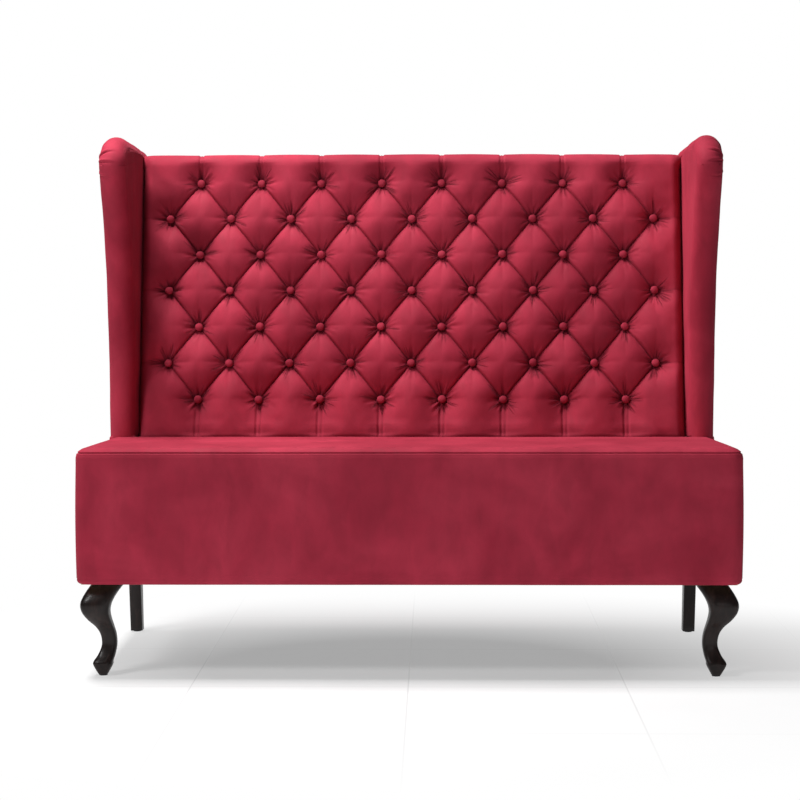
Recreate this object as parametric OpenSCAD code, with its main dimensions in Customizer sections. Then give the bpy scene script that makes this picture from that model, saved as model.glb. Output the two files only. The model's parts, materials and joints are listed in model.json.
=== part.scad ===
// High-back banquette with a deep-buttoned back, two padded wings, S-shaped front legs and raked rear legs.
// Millimetres. X runs along the length, Y from front to back, Z up from the floor.
// The origin is on the floor, under the middle of the whole piece.

/* [Overall] */
// Length over the seat ends
overall_w = 1400; // [1380:5:1430]
// Height of the seat at its highest
seat_h = 480; // [470:5:490]
// Floor to the underside of the seat box
leg_h = 200; // [180:5:210]
// Seat box behind the foot of the back
box_over = 26.2; // [26.2:0.2:40]
// Seat depth in front of the back
seat_d = 490; // [480:5:495]

/* [Back] */
// Lean of the back from upright, in degrees
back_lean = 12; // [10:0.5:14]
// Length of the back along its slope, from seat height to its top
back_len = 683; // [675:1:700]
// Thickness of the back, square to its face
back_t = 127; // [122:1:132]
// Radius of the soft top front edge of the back
back_edge_r = 40; // [38:1:50]
// Depth of the soft sides of the back
back_side_d = 55; // [45:1:60]
// How far in from the wings the soft sides start
back_side_w = 28; // [20:1:32]
// Rise of the middle of the back's face over its ends
back_crown = 2; // [1:0.5:3]

/* [Buttoning] */
// Distance from the outermost buttons to the sides of the back
button_side = 69.3; // [64:0.1:76]
// Height of the lowest row along the slope
button_first = 88; // [82:1:94]
// Distance from the highest row to the top of the back
button_top = 76; // [72:1:82]
// Diameter of a covered button
button_d = 19; // [16:1:22]
// Depth of a button under the crests of the pillows
button_depth = 30; // [28:1:32]
// Depth of the folds half way between two buttons
fold_depth = 16; // [12:1:20]

/* [Wings] */
// Thickness of a wing
wing_t = 60; // [56:1:66]
// How far the wing's crest stands over the top of the back
wing_over = 18; // [16:1:30]
// How far the wing's foot stands in front of the back's face
wing_foot_reach = 14; // [5:1:30]
// How far the wing's top stands in front of its foot
wing_top_reach = 136; // [120:2:160]
// Height of the wing's rounded top front corner
wing_corner_h = 72; // [64:1:84]
// Depth of that corner
wing_corner_d = 110; // [100:1:120]
// Fall of the crest from the corner to the rear edge
crest_fall = 10; // [0:1:16]

/* [Upholstery] */
// Thickness of the velvet with its lining
cover_t = 3; // [2:0.5:3.5]
// Thickness of the thin foam on the boards
pad_t = 8; // [6:1:10]
// Radius of the seat's soft top edge
seat_edge_r = 24; // [20:1:30]
// Rise of the seat's middle over its edges
seat_crown = 3; // [2:1:6]
// Rise of the seat's front edge over its rear
seat_rise = 12; // [8:1:14]
// Radius of the seat's upright corners
seat_corner_r = 24; // [20:1:30]
// Least thickness of the buttoned pad, behind a button
pad_least = 4; // [3:0.5:6]
// Thickness of the plain foam behind the buttoned pad
back_foam_t = 26; // [22:1:28]
// Diameter of the holes punched in that foam
foam_hole_d = 20; // [16:1:26]
// Width of the elastic webbing
web_w = 60; // [50:5:70]
// Thickness of the elastic webbing
web_t = 2; // [1.5:0.5:2.5]
// Thickness of the cloth under the seat
dust_t = 1.2; // [1:0.1:1.5]
// Diameter of the button twine
twine_d = 2.4; // [2:0.2:3]

/* [Frame] */
// Thickness of the plywood boards of the seat and wings
board_t = 18; // [16:1:21]
// Thickness of the plywood panel behind the back's foam
panel_t = 6; // [4:1:8]
// Height of the boards under the seat foam, above the floor
board_top = 395; // [385:5:405]
// Width of the back's posts along the length
post_w = 60; // [50:1:70]
// Height of the back's rails
rail_h = 60; // [50:1:70]
// Height of the bottom rail above the seat, along the slope
rail_low = 10; // [5:1:30]
// Width of the back's studs
stud_w = 40; // [30:1:50]
// Depth of the rail that holds the rear ends of the webbing
web_rail_d = 30; // [24:1:36]
// Height of that rail
web_rail_h = 65; // [50:1:80]
// Width of the seat's cross members
member_w = 22; // [18:1:30]
// Height of the seat's cross members
member_h = 80; // [70:5:90]
// Room for the webbing to sink above the cross members
member_drop = 50; // [40:5:60]
// Side of the corner blocks
block_side = 70; // [66:1:76]
// Height of the corner blocks
block_h = 50; // [40:1:55]

/* [Legs] */
// Width of a rear leg
rear_leg_w = 28; // [26:1:32]
// Depth of a rear leg at its top
rear_leg_d = 48; // [44:1:50]
// Depth of a rear leg at the floor
rear_foot_d = 32; // [28:1:38]
// Rake of a rear leg's front face over its height
rear_rake = 38; // [20:1:50]
// Distance from the seat's end to a rear leg
rear_leg_in = 27; // [24:1:32]
// Distance from the rear of the seat box to a rear leg's front face, at its top
rear_leg_y = 72; // [68:1:78]
// How much further a front leg is set in from the front than from the end
front_leg_back = 10; // [4:1:14]
// Thickness of the glides under the feet
glide_h = 3; // [2:0.5:4]
// Diameter of the glides
glide_d = 18; // [14:1:19]

/* [Fixings] */
// Diameter of the bolts of the legs and of the back
bolt_d = 8; // [6:1:8]
// Length of a leg bolt inside the leg
bolt_in_leg = 35; // [25:1:45]
// Diameter of the wood screws
screw_d = 5; // [4:0.5:6]
// Length of the wood screws
screw_l = 50; // [40:1:55]
// Diameter of the dowels of the back's rails
dowel_d = 10; // [8:1:12]
// Length of the dowels
dowel_l = 50; // [40:1:60]

/* [Hidden] */

velvet = [0.62, 0.18, 0.26];
foam = [0.93, 0.88, 0.70];
ply = [0.80, 0.66, 0.46];
timber = [0.85, 0.72, 0.52];
dark_wood = [0.16, 0.10, 0.08];
steel = [0.72, 0.73, 0.75];
black = [0.10, 0.10, 0.11];

// Clearances: between soft layers, and around bolts, screws and dowels
gap = 0.3;
hole_gap = 0.2;
fine = 48;

// Seat box, measured from its front face
half_w = overall_w / 2;
seat_box_d = seat_d + back_t / cos(back_lean) + box_over;
skin = cover_t + gap;
board_x = half_w - skin - pad_t;
inner_x = board_x - board_t;
front_y0 = skin + pad_t;
front_y1 = front_y0 + board_t;
rear_y1 = seat_box_d - skin - pad_t;
rear_y0 = rear_y1 - board_t;
well_y = seat_d - cover_t;
riser_y = well_y + gap;
riser_top = seat_h - cover_t;
cover_split = seat_h - seat_crown - seat_edge_r - 2;
web_rail_y1 = well_y - 4;
web_rail_y0 = web_rail_y1 - web_rail_d;
foam_z = board_top + 2 * web_t;
web_margin = 2;
web_pitch_long = 100;
web_pitch_cross = 90;
web_cross_first = 60;
tuck_h = 4;

// Back, measured from its face (T) and up its slope (S)
back_w = half_w - wing_t - gap;
pad_t1 = button_depth + pad_least;
foam_t0 = pad_t1 + gap;
panel_t0 = foam_t0 + back_foam_t;
panel_t1 = panel_t0 + panel_t;
frame_t1 = back_t - skin;
frame_mid = (panel_t1 + frame_t1) / 2;
side_inner_w = back_w - cover_t;
panel_w = side_inner_w - gap;
pad_top_t = 6;
rail_top_s = back_len - pad_top_t - gap;
post_top_s = rail_top_s - 4;
foam_top_s = rail_top_s - 7;
pad_s0 = -10;
foam_s0 = -40;
post_x = inner_x - post_w;
post_s0 = (leg_h + block_h - seat_h + frame_t1 * sin(back_lean)) / cos(back_lean);
button_rows = 7;
button_half = 8;
button_pitch = 2 * (back_w - button_side) / button_half;
button_row = (back_len - button_first - button_top) / (button_rows - 1);
button_rim = 1.5;
button_flat = 3;
button_cap = 4;
toggle_h = 3;
pleat_run = 60;
// Studs from the middle, in pitches of the buttons, so that they stand clear of the twine
stud_pitches = [0.75, 2.75];

// Wings
wing_h = seat_h + back_len * cos(back_lean) + wing_over;
roll_r = wing_t / 2;
wing_mid = half_w - roll_r;
foot_y = seat_d - wing_foot_reach;
top_y = foot_y - wing_top_reach;
corner_z = wing_h - wing_corner_h;
crest_rear = wing_h - crest_fall;
wing_tail_t = panel_t0;

// Top of the outside back behind the wings, and the middle of the whole depth
ear_s = (crest_rear - seat_h + back_t * sin(back_lean)) / cos(back_lean) - 2;
rear_y = slope_y(frame_t1, crest_rear);
mid_y = (seat_d + back_t * cos(back_lean) + ear_s * sin(back_lean)) / 2;

// Height fraction, distance from the seat's end, width: the front leg from its sole to its top
LEG = [
    [0.015, 39, 20], [0.11, 29, 40], [0.15, 29, 41], [0.22, 38, 36], [0.32, 45, 32], [0.43, 43, 33],
    [0.52, 34, 38], [0.61, 18, 50], [0.70, 7, 59], [0.79, 5, 65], [0.89, 14, 67], [1, 29, 69]
];
leg_top_mid = LEG[11][1] + LEG[11][2] / 2;
leg_sole_mid = LEG[0][1] + LEG[0][2] / 2;
leg_steps = 3;

bolt_r = bolt_d / 2;
head_r = bolt_d;
head_h = 4;
nut_h = 6.5;
washer_h = 1.6;
tee_h = 9;
tee_wall = 1.6;
tee_flange_r = 9.5;
tee_flange_h = 1.4;
bolt_levels = [for (share = [-0.54, -0.14]) share * (seat_h - leg_h)];
wing_screw_levels = [for (share = [0.12, 0.44, 0.76]) share * back_len];
corner_screw_levels = [for (share = [0.2, 0.46, 0.77]) share * (board_top - leg_h)];
screw_head_h = 3;

// Y of a point on the plane that lies T behind the back's face, at height Z
function slope_y(t, z) = seat_d + t / cos(back_lean) + (z - seat_h) * tan(back_lean);
function clamp(v, low, high) = max(low, min(high, v));
function backwards(list) = [for (i = [len(list) - 1:-1:0]) list[i]];

// Moves parts drawn from the front face of the seat box to their place round the origin
module placed() {
    translate([0, -mid_y, 0]) children();
}

// Leans parts of the back that are drawn upright
module leaned() {
    placed() translate([0, seat_d, seat_h]) rotate([-back_lean, 0, 0]) children();
}

module both_ends() {
    children();
    mirror([1, 0, 0]) children();
}

module span(low, high) {
    translate(low) cube(high - low);
}

// Band round the seat box, between two distances from its outside
module seat_band(outer, inner, z0, z1) {
    translate([0, 0, z0]) linear_extrude(z1 - z0) difference() {
        rounded_plan(outer);
        rounded_plan(inner);
    }
}

// Band between the cover and the square corners of the boards
module padding_band(z0, z1) {
    difference() {
        translate([0, 0, z0]) linear_extrude(z1 - z0) rounded_plan(skin);
        span([-board_x, front_y0, z0 - 1], [board_x, rear_y1, z1 + 1]);
    }
}

module rounded_plan(inset) {
    r = max(seat_corner_r - inset, 2);
    x = half_w - inset;
    y0 = inset;
    y1 = seat_box_d - inset;
    translate([-x, y0 + r]) square([2 * x, y1 - y0 - 2 * r]);
    translate([r - x, y0]) square([2 * (x - r), y1 - y0]);
    for (sx = [-1, 1], y = [y0 + r, y1 - r]) translate([sx * (x - r), y]) circle(r = r, $fn = fine);
}

// Joins closed rings of points into a solid, each ring drawn anticlockwise as seen from its far end.
// The triangles of the first end close it, and close the last end turned over.
// Four-sided patches are split from their first corner, or with FOLDED along their deeper diagonal.
module loft(rings, cap, folded = false) {
    n = len(rings[0]);
    last = (len(rings) - 1) * n;
    sides = [
        for (j = [0:len(rings) - 2], i = [0:n - 1])
            let (k = (i + 1) % n, a = j * n + i, b = j * n + k)
            let (rise = rings[j][i][1] + rings[j + 1][k][1] - rings[j][k][1] - rings[j + 1][i][1])
            each folded && rise < -0.01 ? [[a, a + n, b], [b, a + n, b + n]] : [[a, b + n, b], [a, a + n, b + n]]
    ];
    far_end = [for (face = cap) [last + face[2], last + face[1], last + face[0]]];
    polyhedron([for (ring = rings) each ring], concat(sides, cap, far_end));
}

// Ends of a convex ring of N points, and of a ring that runs out along one side of a sheet and back on the other
function fan(n) = [for (i = [1:n - 2]) [0, i, i + 1]];
function fold(n) = [for (i = [0:n / 2 - 2]) let (j = n - 1 - i) each [[i, i + 1, j - 1], [i, j - 1, j]]];

// Rounded rectangle as a ring of points, with a given number of steps in each corner
function rounded_ring(x0, x1, y0, y1, r, z, steps) = [
    for (c = [0:3], k = [0:steps])
        let (turn = 90 * (c + k / steps))
        let (x = c == 0 || c == 3 ? x1 - r : x0 + r, y = c < 2 ? y1 - r : y0 + r)
        [x + r * cos(turn), y + r * sin(turn), z]
];

// Seat frame

module screw_hole() {
    translate([0, 0, -1]) cylinder(h = screw_l + 2, r = screw_d / 2 + hole_gap, $fn = fine);
    translate([0, 0, -1]) cylinder(h = screw_head_h + 1 + hole_gap, r = screw_d + hole_gap, $fn = fine);
}

module screw() {
    translate([0, 0, screw_head_h]) cylinder(h = screw_l - screw_head_h, r = screw_d / 2, $fn = fine);
    cylinder(h = screw_head_h, r = screw_d, $fn = fine);
}

// Each screw that holds the front and rear boards to the end boards, pointing into the wood
module corner_screw_places() {
    x = (board_x + inner_x) / 2;
    placed() both_ends() for (level = corner_screw_levels) {
        translate([x, front_y0, leg_h + level]) rotate([-90, 0, 0]) children();
        translate([x, rear_y1, leg_h + level]) rotate([90, 0, 0]) children();
    }
}

module seat_front_board() {
    color(ply) difference() {
        placed() span([-board_x, front_y0, leg_h], [board_x, front_y1, board_top]);
        corner_screw_places() screw_hole();
    }
}

module seat_rear_board() {
    color(ply) difference() {
        placed() span([-board_x, rear_y0, leg_h], [board_x, rear_y1, riser_top]);
        corner_screw_places() screw_hole();
    }
}

module seat_end_board() {
    color(ply) difference() {
        placed() union() {
            span([inner_x, front_y1, leg_h], [board_x, rear_y0, board_top]);
            span([inner_x, riser_y, leg_h], [board_x, rear_y0, riser_top]);
        }
        corner_screw_places() screw_hole();
        back_bolt_places() back_bolt_hole();
    }
}

module seat_end_board_right() {
    seat_end_board();
}

module seat_end_board_left() {
    mirror([1, 0, 0]) seat_end_board();
}

module seat_webbing_rail() {
    color(timber) placed()
        span([-inner_x, web_rail_y0, board_top - web_rail_h], [inner_x, web_rail_y1, board_top]);
}

module seat_cross_members() {
    x0 = (inner_x - member_w) / 3;
    z1 = board_top - member_drop;
    color(timber) placed() both_ends() span([x0, front_y1, z1 - member_h], [x0 + member_w, web_rail_y0, z1]);
}

front_bolt = [half_w - leg_top_mid, leg_top_mid + front_leg_back];
rear_bolt = [half_w - rear_leg_in - rear_leg_w / 2, seat_box_d - rear_leg_y + rear_leg_d / 2 - 4];

module leg_bolt_places() {
    placed() both_ends() for (place = [front_bolt, rear_bolt]) translate([place[0], place[1], leg_h]) children();
}

module leg_blocks() {
    color(timber) difference() {
        placed() both_ends() for (y = [front_y1, rear_y0 - block_side])
            span([inner_x - block_side, y, leg_h], [inner_x, y + block_side, leg_h + block_h]);
        leg_bolt_places() {
            translate([0, 0, -1]) cylinder(h = block_h + 2, r = bolt_r + hole_gap, $fn = fine);
            translate([0, 0, block_h - tee_h]) cylinder(h = tee_h + 1, r = bolt_r + tee_wall + 2 * hole_gap, $fn = fine);
        }
    }
}

// Elastic webbing

module seat_webbing_long() {
    count = floor((inner_x - web_w) / web_pitch_long);
    color(black) placed() for (i = [-count:count]) let (x = i * web_pitch_long)
        span([x - web_w / 2, front_y0 + web_margin, board_top],
            [x + web_w / 2, web_rail_y1 - web_margin, board_top + web_t]);
}

module seat_webbing_cross() {
    x = board_x - web_margin;
    color(black) placed() for (y = [front_y1 + web_cross_first:web_pitch_cross:web_rail_y0 - web_w]) {
        span([-x, y, board_top + web_t], [x, y + web_w, foam_z]);
        both_ends() span([inner_x + web_margin, y, board_top], [x, y + web_w, board_top + web_t]);
    }
}

// Seat upholstery

// Rings of the seat's soft top, from its side up to its middle, at a depth under its outside. Above the join with
// the border they all rise to the front
function seat_skin(depth) =
    let (r = seat_edge_r - depth, low = seat_h - seat_crown - seat_edge_r)
    let (most = (well_y + 0.75 * seat_edge_r - 8) / 2)
    concat(
        [for (k = [0:4]) seat_ring(seat_edge_r - r * cos(22.5 * k), depth, low + r * sin(22.5 * k))],
        [for (u = [0.1, 0.25, 0.5, 1])
            seat_ring(seat_edge_r + u * (most - seat_edge_r), depth, seat_h - depth - seat_crown * pow(1 - u, 2))]
    );
function seat_ring(inset, depth, z) =
    let (rear = inset - 0.75 * (min(inset, seat_edge_r) - depth))
    let (r = max(seat_corner_r - inset, 3), rise = z > cover_split ? seat_rise : 0)
    [for (p = rounded_ring(inset - half_w, half_w - inset, inset, well_y - rear, r, z, 4))
        [p[0], p[1], z + rise * (1 - p[1] / well_y)]];

module seat_foam() {
    color(foam) placed() loft(concat([seat_ring(skin, skin, foam_z)], seat_skin(skin)), fan(20));
}

module seat_top_cover() {
    inner = concat([seat_ring(cover_t, cover_t, cover_split)], seat_skin(cover_t));
    outer = concat([seat_ring(0, 0, cover_split)], seat_skin(0));
    color(velvet) placed() loft(concat(backwards(inner), outer), fan(20));
}

module seat_side_padding() {
    color(foam) placed() {
        padding_band(leg_h + tuck_h, board_top);
        intersection() {
            padding_band(board_top - 1, riser_top);
            span([-half_w, riser_y, 0], [half_w, seat_box_d, seat_h]);
        }
    }
}

module seat_border_cover() {
    wing_x = half_w - wing_t;
    frame_x = inner_x + gap;
    tuck_y = slope_y(wing_tail_t, seat_h);
    opening = [
        [wing_x, riser_y - 1], [wing_x, tuck_y], [frame_x, tuck_y], [frame_x, rear_y0],
        [-frame_x, rear_y0], [-frame_x, tuck_y], [-wing_x, tuck_y], [-wing_x, riser_y - 1]
    ];
    color(velvet) placed() difference() {
        union() {
            seat_band(0, cover_t, leg_h, cover_split);
            intersection() {
                translate([0, 0, leg_h]) linear_extrude(seat_h - leg_h) rounded_plan(0);
                span([-half_w, riser_y, leg_h], [half_w, seat_box_d, seat_h]);
            }
        }
        translate([0, 0, leg_h - 1]) linear_extrude(riser_top - leg_h + 1) rounded_plan(cover_t);
        translate([0, 0, riser_top - 1]) linear_extrude(cover_t + 2) polygon(opening);
    }
}

module dust_cover() {
    margin = 4;
    leg_half = LEG[11][2] / 2 + 1;
    leg_y = seat_box_d - rear_leg_y;
    z0 = leg_h - dust_t;
    color(black) placed() difference() {
        span([-board_x + margin, front_y0 + margin, z0], [board_x - margin, rear_y1 - margin, leg_h]);
        both_ends() {
            span([front_bolt[0] - leg_half, 0, z0 - 1], [half_w, front_bolt[1] + leg_half, leg_h + 1]);
            span([half_w - rear_leg_in - rear_leg_w - 1, leg_y - 1, z0 - 1],
                [half_w, seat_box_d, leg_h + 1]);
        }
    }
}

// Legs and what holds them

// Blend of four neighbouring rows of the leg's list, at a fraction between the middle two
function between(a, b, c, d, u) =
    b + u * ((c - a) + u * ((2 * a - 5 * b + 4 * c - d) + u * (3 * b - a - 3 * c + d))) / 2;
function leg_row(i, u) =
    between(LEG[max(i - 1, 0)], LEG[i], LEG[min(i + 1, 11)], LEG[min(i + 2, 11)], u);
function leg_ring(row) =
    let (x1 = half_w - row[1], y0 = row[1] + front_leg_back, w = row[2])
    rounded_ring(x1 - w, x1, y0, y0 + w, 0.36 * w, row[0] * leg_h, 4);

module front_leg() {
    rows = [for (i = [0:10], k = [0:leg_steps - 1]) leg_row(i, k / leg_steps)];
    color(dark_wood) difference() {
        placed() loft([for (row = concat(rows, [LEG[11]])) leg_ring(row)], fan(20));
        placed() translate([front_bolt[0], front_bolt[1], leg_h - bolt_in_leg])
            cylinder(h = bolt_in_leg + 1, r = bolt_r + hole_gap, $fn = fine);
    }
}

module front_leg_right() {
    front_leg();
}

module front_leg_left() {
    mirror([1, 0, 0]) front_leg();
}

module rear_leg() {
    y0 = seat_box_d - rear_leg_y;
    x0 = half_w - rear_leg_in - rear_leg_w;
    side = [[y0, leg_h], [y0 + rear_leg_d, leg_h], [y0 + rear_rake + rear_foot_d, glide_h], [y0 + rear_rake, glide_h]];
    color(dark_wood) difference() {
        placed() translate([x0, 0, 0]) rotate([90, 0, 90]) linear_extrude(rear_leg_w) polygon(side);
        placed() translate([rear_bolt[0], rear_bolt[1], leg_h - bolt_in_leg])
            cylinder(h = bolt_in_leg + 1, r = bolt_r + hole_gap, $fn = fine);
    }
}

module rear_leg_right() {
    rear_leg();
}

module rear_leg_left() {
    mirror([1, 0, 0]) rear_leg();
}

module foot_glides() {
    front = [half_w - leg_sole_mid, leg_sole_mid + front_leg_back];
    rear = [rear_bolt[0], seat_box_d - rear_leg_y + rear_rake + rear_foot_d / 2];
    color(black) placed() both_ends() for (place = [front, rear])
        translate([place[0], place[1], 0]) cylinder(h = glide_h, r = glide_d / 2, $fn = fine);
}

module leg_bolts() {
    color(steel) leg_bolt_places() translate([0, 0, hole_gap - bolt_in_leg])
        cylinder(h = bolt_in_leg + block_h, r = bolt_r, $fn = fine);
}

module leg_tee_nuts() {
    color(steel) leg_bolt_places() difference() {
        union() {
            translate([0, 0, block_h]) cylinder(h = tee_flange_h, r = tee_flange_r, $fn = fine);
            translate([0, 0, block_h - tee_h + hole_gap])
                cylinder(h = tee_h, r = bolt_r + tee_wall + hole_gap, $fn = fine);
        }
        cylinder(h = block_h + 9, r = bolt_r + hole_gap, $fn = fine);
    }
}

// Back frame

// Each bolt that holds a post to its end board, pointing in from the board's outside
module back_bolt_places() {
    both_ends() leaned() for (s = bolt_levels)
        translate([board_x, frame_mid, s]) rotate([0, -90, 0]) children();
}

module back_bolt_hole() {
    translate([0, 0, -1]) cylinder(h = board_t + post_w + 2, r = bolt_r + hole_gap, $fn = fine);
    translate([0, 0, -1]) cylinder(h = head_h + 1 + hole_gap, r = head_r + hole_gap, $fn = fine);
}

module wing_screw_places() {
    both_ends() leaned() for (s = wing_screw_levels)
        translate([board_x, frame_mid, s]) rotate([0, -90, 0]) children();
}

// Each dowel of the back's four rail joints, from its middle in the joint, along X
module dowel_places() {
    both_ends() leaned() for (s = [rail_low, rail_top_s - rail_h], part = [0.25, 0.75])
        translate([post_x, frame_mid, s + part * rail_h]) rotate([0, 90, 0]) children();
}

module dowel_hole() {
    cylinder(h = dowel_l + 2 * hole_gap, r = dowel_d / 2 + hole_gap, center = true, $fn = fine);
}

module back_post() {
    color(timber) difference() {
        leaned() span([post_x, panel_t1, post_s0], [inner_x, frame_t1, post_top_s]);
        back_bolt_places() back_bolt_hole();
        wing_screw_places() screw_hole();
        dowel_places() dowel_hole();
    }
}

module back_post_right() {
    back_post();
}

module back_post_left() {
    mirror([1, 0, 0]) back_post();
}

module back_rail(s) {
    color(timber) difference() {
        leaned() span([-post_x, panel_t1, s], [post_x, frame_t1, s + rail_h]);
        dowel_places() dowel_hole();
    }
}

module back_top_rail() {
    back_rail(rail_top_s - rail_h);
}

module back_bottom_rail() {
    back_rail(rail_low);
}

module back_studs() {
    color(timber) leaned() for (i = [0:1], side = [-1, 1]) let (x = side * stud_pitches[i] * button_pitch)
        span([x - stud_w / 2, panel_t1, rail_low + rail_h], [x + stud_w / 2, frame_t1, rail_top_s - rail_h]);
}

module rail_dowels() {
    color(timber) dowel_places() cylinder(h = dowel_l, r = dowel_d / 2, center = true, $fn = fine);
}

// How far the ends of the face lie behind its middle
function crown_depth(x) = back_crown * pow(x / back_w, 2);

// Each button, with Z pointing into the back, from its flat middle plane or from its crowned face
module button_places(crowned = 0) {
    leaned() for (row = [0:button_rows - 1])
        let (half = row % 2 == 0 ? button_half - 1 : button_half, s = button_first + row * button_row)
        for (a = [-half:2:half])
            let (x = a * button_pitch / 2)
            translate([x, crowned * crown_depth(x), s]) rotate([-90, 0, 0]) children();
}

module back_panel() {
    color(ply) difference() {
        leaned() span([-panel_w, panel_t0, foam_s0], [panel_w, panel_t1, foam_top_s]);
        button_places() cylinder(h = back_t, r = twine_d, $fn = fine);
    }
}

module back_foam() {
    color(foam) difference() {
        leaned() span([-panel_w, foam_t0, foam_s0], [panel_w, panel_t0, foam_top_s]);
        button_places() cylinder(h = back_t, r = foam_hole_d / 2, $fn = fine);
    }
}

module button_ties() {
    color(black) button_places() {
        translate([0, 0, pad_t1]) cylinder(h = panel_t1 - pad_t1, r = twine_d / 2, $fn = fine);
        translate([0, 0, panel_t1]) cylinder(h = toggle_h, r = 2 * twine_d, $fn = fine);
    }
}

module back_buttons() {
    r = button_d / 2;
    rear = button_depth - button_rim;
    rim = button_depth - 0.66 * r;
    cap_r = (r * r + button_cap * button_cap) / (2 * button_cap);
    side = [[0, rear], [button_flat, rear - 0.3 * button_flat], [r, rim], [r, rim - button_rim], [0, rim - button_rim]];
    color(velvet) button_places(1) {
        rotate_extrude($fn = fine) polygon(side);
        translate([0, 0, rim - button_rim]) rotate([180, 0, 0]) rotate_extrude($fn = fine) intersection() {
            translate([0, button_cap - cap_r]) circle(r = cap_r, $fn = fine);
            square([r, button_cap]);
        }
    }
}

// Buttoned pad: pillows between the buttons, folds along the diamonds and pleats to the edges

// Depth of the buttoned surface under the crests of its pillows
function tuft(x, s) =
    let (edge_x = button_half * button_pitch / 2, edge_s = button_first + (button_rows - 1) * button_row)
    let (a = clamp(2 * x / button_pitch, -button_half, button_half))
    let (b = clamp((s - button_first) / button_row, 0, button_rows - 1))
    let (p = abs(sin(90 * (a + b + 1))), q = abs(sin(90 * (a - b + 1))))
    let (past = max(abs(x) - edge_x, button_first - s, s - edge_s, 0))
    fold_depth * (1 - pow(p * q, 0.6))
    + (button_depth - fold_depth) * (1 - max(p, q)) * max(0, 1 - past / pleat_run);

// Rows of the pad up its face, round its top edge and back over the rail: outline point (T, S), direction into
// the pad, depth of its inside, depth of its side edge, strength of the folds, depth of its face
side_top_t = pad_top_t + hole_gap;
pad_s1 = pad_s0 + 14;
low_rows = [
    [[0, pad_s0], [1, 0], pad_t1, pad_t1 + 2, 0, pad_t1 - 10],
    [[0, pad_s1], [1, 0], pad_t1, back_side_d, 0.9, 0]
];
face_rows = [
    for (k = [-1:2 * button_rows - 2])
        [[0, button_first + k * button_row / 2], [1, 0], pad_t1, back_side_d, 1, 0]
];
edge_rows = [
    for (k = [0:3]) let (turn = 30 * k, r = back_edge_r, c = cos(turn), v = sin(turn))
        [[r - r * c, back_len - r + r * v], [c, -v],
            pad_top_t + (pad_t1 - pad_top_t) * (1 - k / 3), side_top_t + (back_side_d - 12) * (1 - k / 3),
            0.65 - 0.18 * k, 0]
];
top_rows = [
    [[frame_t1 - 12, back_len], [0, -1], pad_top_t, side_top_t, 0.05, 0],
    [[frame_t1, back_len], [0, -1], pad_top_t, side_top_t, 0, 1]
];
pad_rows = concat(low_rows, face_rows, edge_rows, top_rows);
side_turns = [0, 35, 65, 90];
side_xs = [for (turn = side_turns) back_w - back_side_w * (1 - sin(turn))];
face_xs = [for (a = [-2 * button_half:2 * button_half]) a * button_pitch / 4];

function pad_point(row, x, depth) =
    let (place = row[0] + depth * row[1]) [x, place[0], place[1]];
function pad_ring(row) =
    let (left = [for (i = [3:-1:0]) pad_point(row, -side_xs[i], side_depth(row, i))])
    let (right = [for (i = [0:3]) pad_point(row, side_xs[i], side_depth(row, i))])
    let (front = [for (x = face_xs) pad_point(row, x, face_depth(row, x))])
    concat(left, front, right, [
        pad_point(row, side_inner_w, row[3]), pad_point(row, side_inner_w, row[2]),
        pad_point(row, -side_inner_w, row[2]), pad_point(row, -side_inner_w, row[3])
    ]);
function face_depth(row, x) = row[5] + row[4] * tuft(x, row[0][1]) + crown_depth(x);
function side_depth(row, i) =
    let (share = 1 - cos(side_turns[i]))
    let (depth = row[3] * share + face_depth(row, side_xs[i]) * (1 - share))
    i < 3 ? min(depth, row[2] - 1) : depth;

// Ends of the pad: its last four points are the corners of its inside, the others run across its face
function pad_ends(n) = let (m = n - 4, mid = floor(m / 2)) concat(
    [[m + 3, 0, m + 2]], [for (i = [0:mid - 1]) [m + 2, i, i + 1]], [[m + 2, mid, m + 1]],
    [for (i = [mid:m - 2]) [m + 1, i, i + 1]], [[m + 1, m - 1, m]]
);

module back_tufted_pad() {
    rings = [for (row = pad_rows) pad_ring(row)];
    color(velvet) leaned() loft(rings, pad_ends(len(rings[0])), true);
}

module outside_back_cover() {
    x = half_w - 1;
    low_s = (back_t * sin(back_lean) + 1) / cos(back_lean);
    side = half_w - wing_t;
    r = (x - side) / 2;
    ear = [for (turn = [0:20:180]) [side + r + r * cos(turn), ear_s - r + r * sin(turn)]];
    outline = concat(
        [[-x, low_s], [x, low_s]], ear, [[side, back_len], [-side, back_len]],
        [for (p = backwards(ear)) [-p[0], p[1]]]
    );
    color(velvet) leaned() translate([0, back_t, 0]) rotate([90, 0, 0]) linear_extrude(cover_t) polygon(outline);
}

module back_bolts() {
    color(steel) back_bolt_places() {
        cylinder(h = head_h, r = head_r, $fn = fine);
        cylinder(h = board_t + post_w + washer_h + nut_h + 2, r = bolt_r, $fn = fine);
    }
}

module back_bolt_nuts() {
    color(steel) back_bolt_places() translate([0, 0, board_t + post_w]) difference() {
        union() {
            cylinder(h = washer_h, r = 2 * bolt_r + 1, $fn = fine);
            translate([0, 0, washer_h]) cylinder(h = nut_h, r = 0.94 * bolt_d, $fn = 6);
        }
        translate([0, 0, -1]) cylinder(h = washer_h + nut_h + 2, r = bolt_r + hole_gap, $fn = fine);
    }
}

// Wings

function curve(p, u) =
    pow(1 - u, 3) * p[0] + 3 * u * pow(1 - u, 2) * p[1] + 3 * u * u * (1 - u) * p[2] + pow(u, 3) * p[3];
function unit(v) = v / norm(v);

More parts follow.
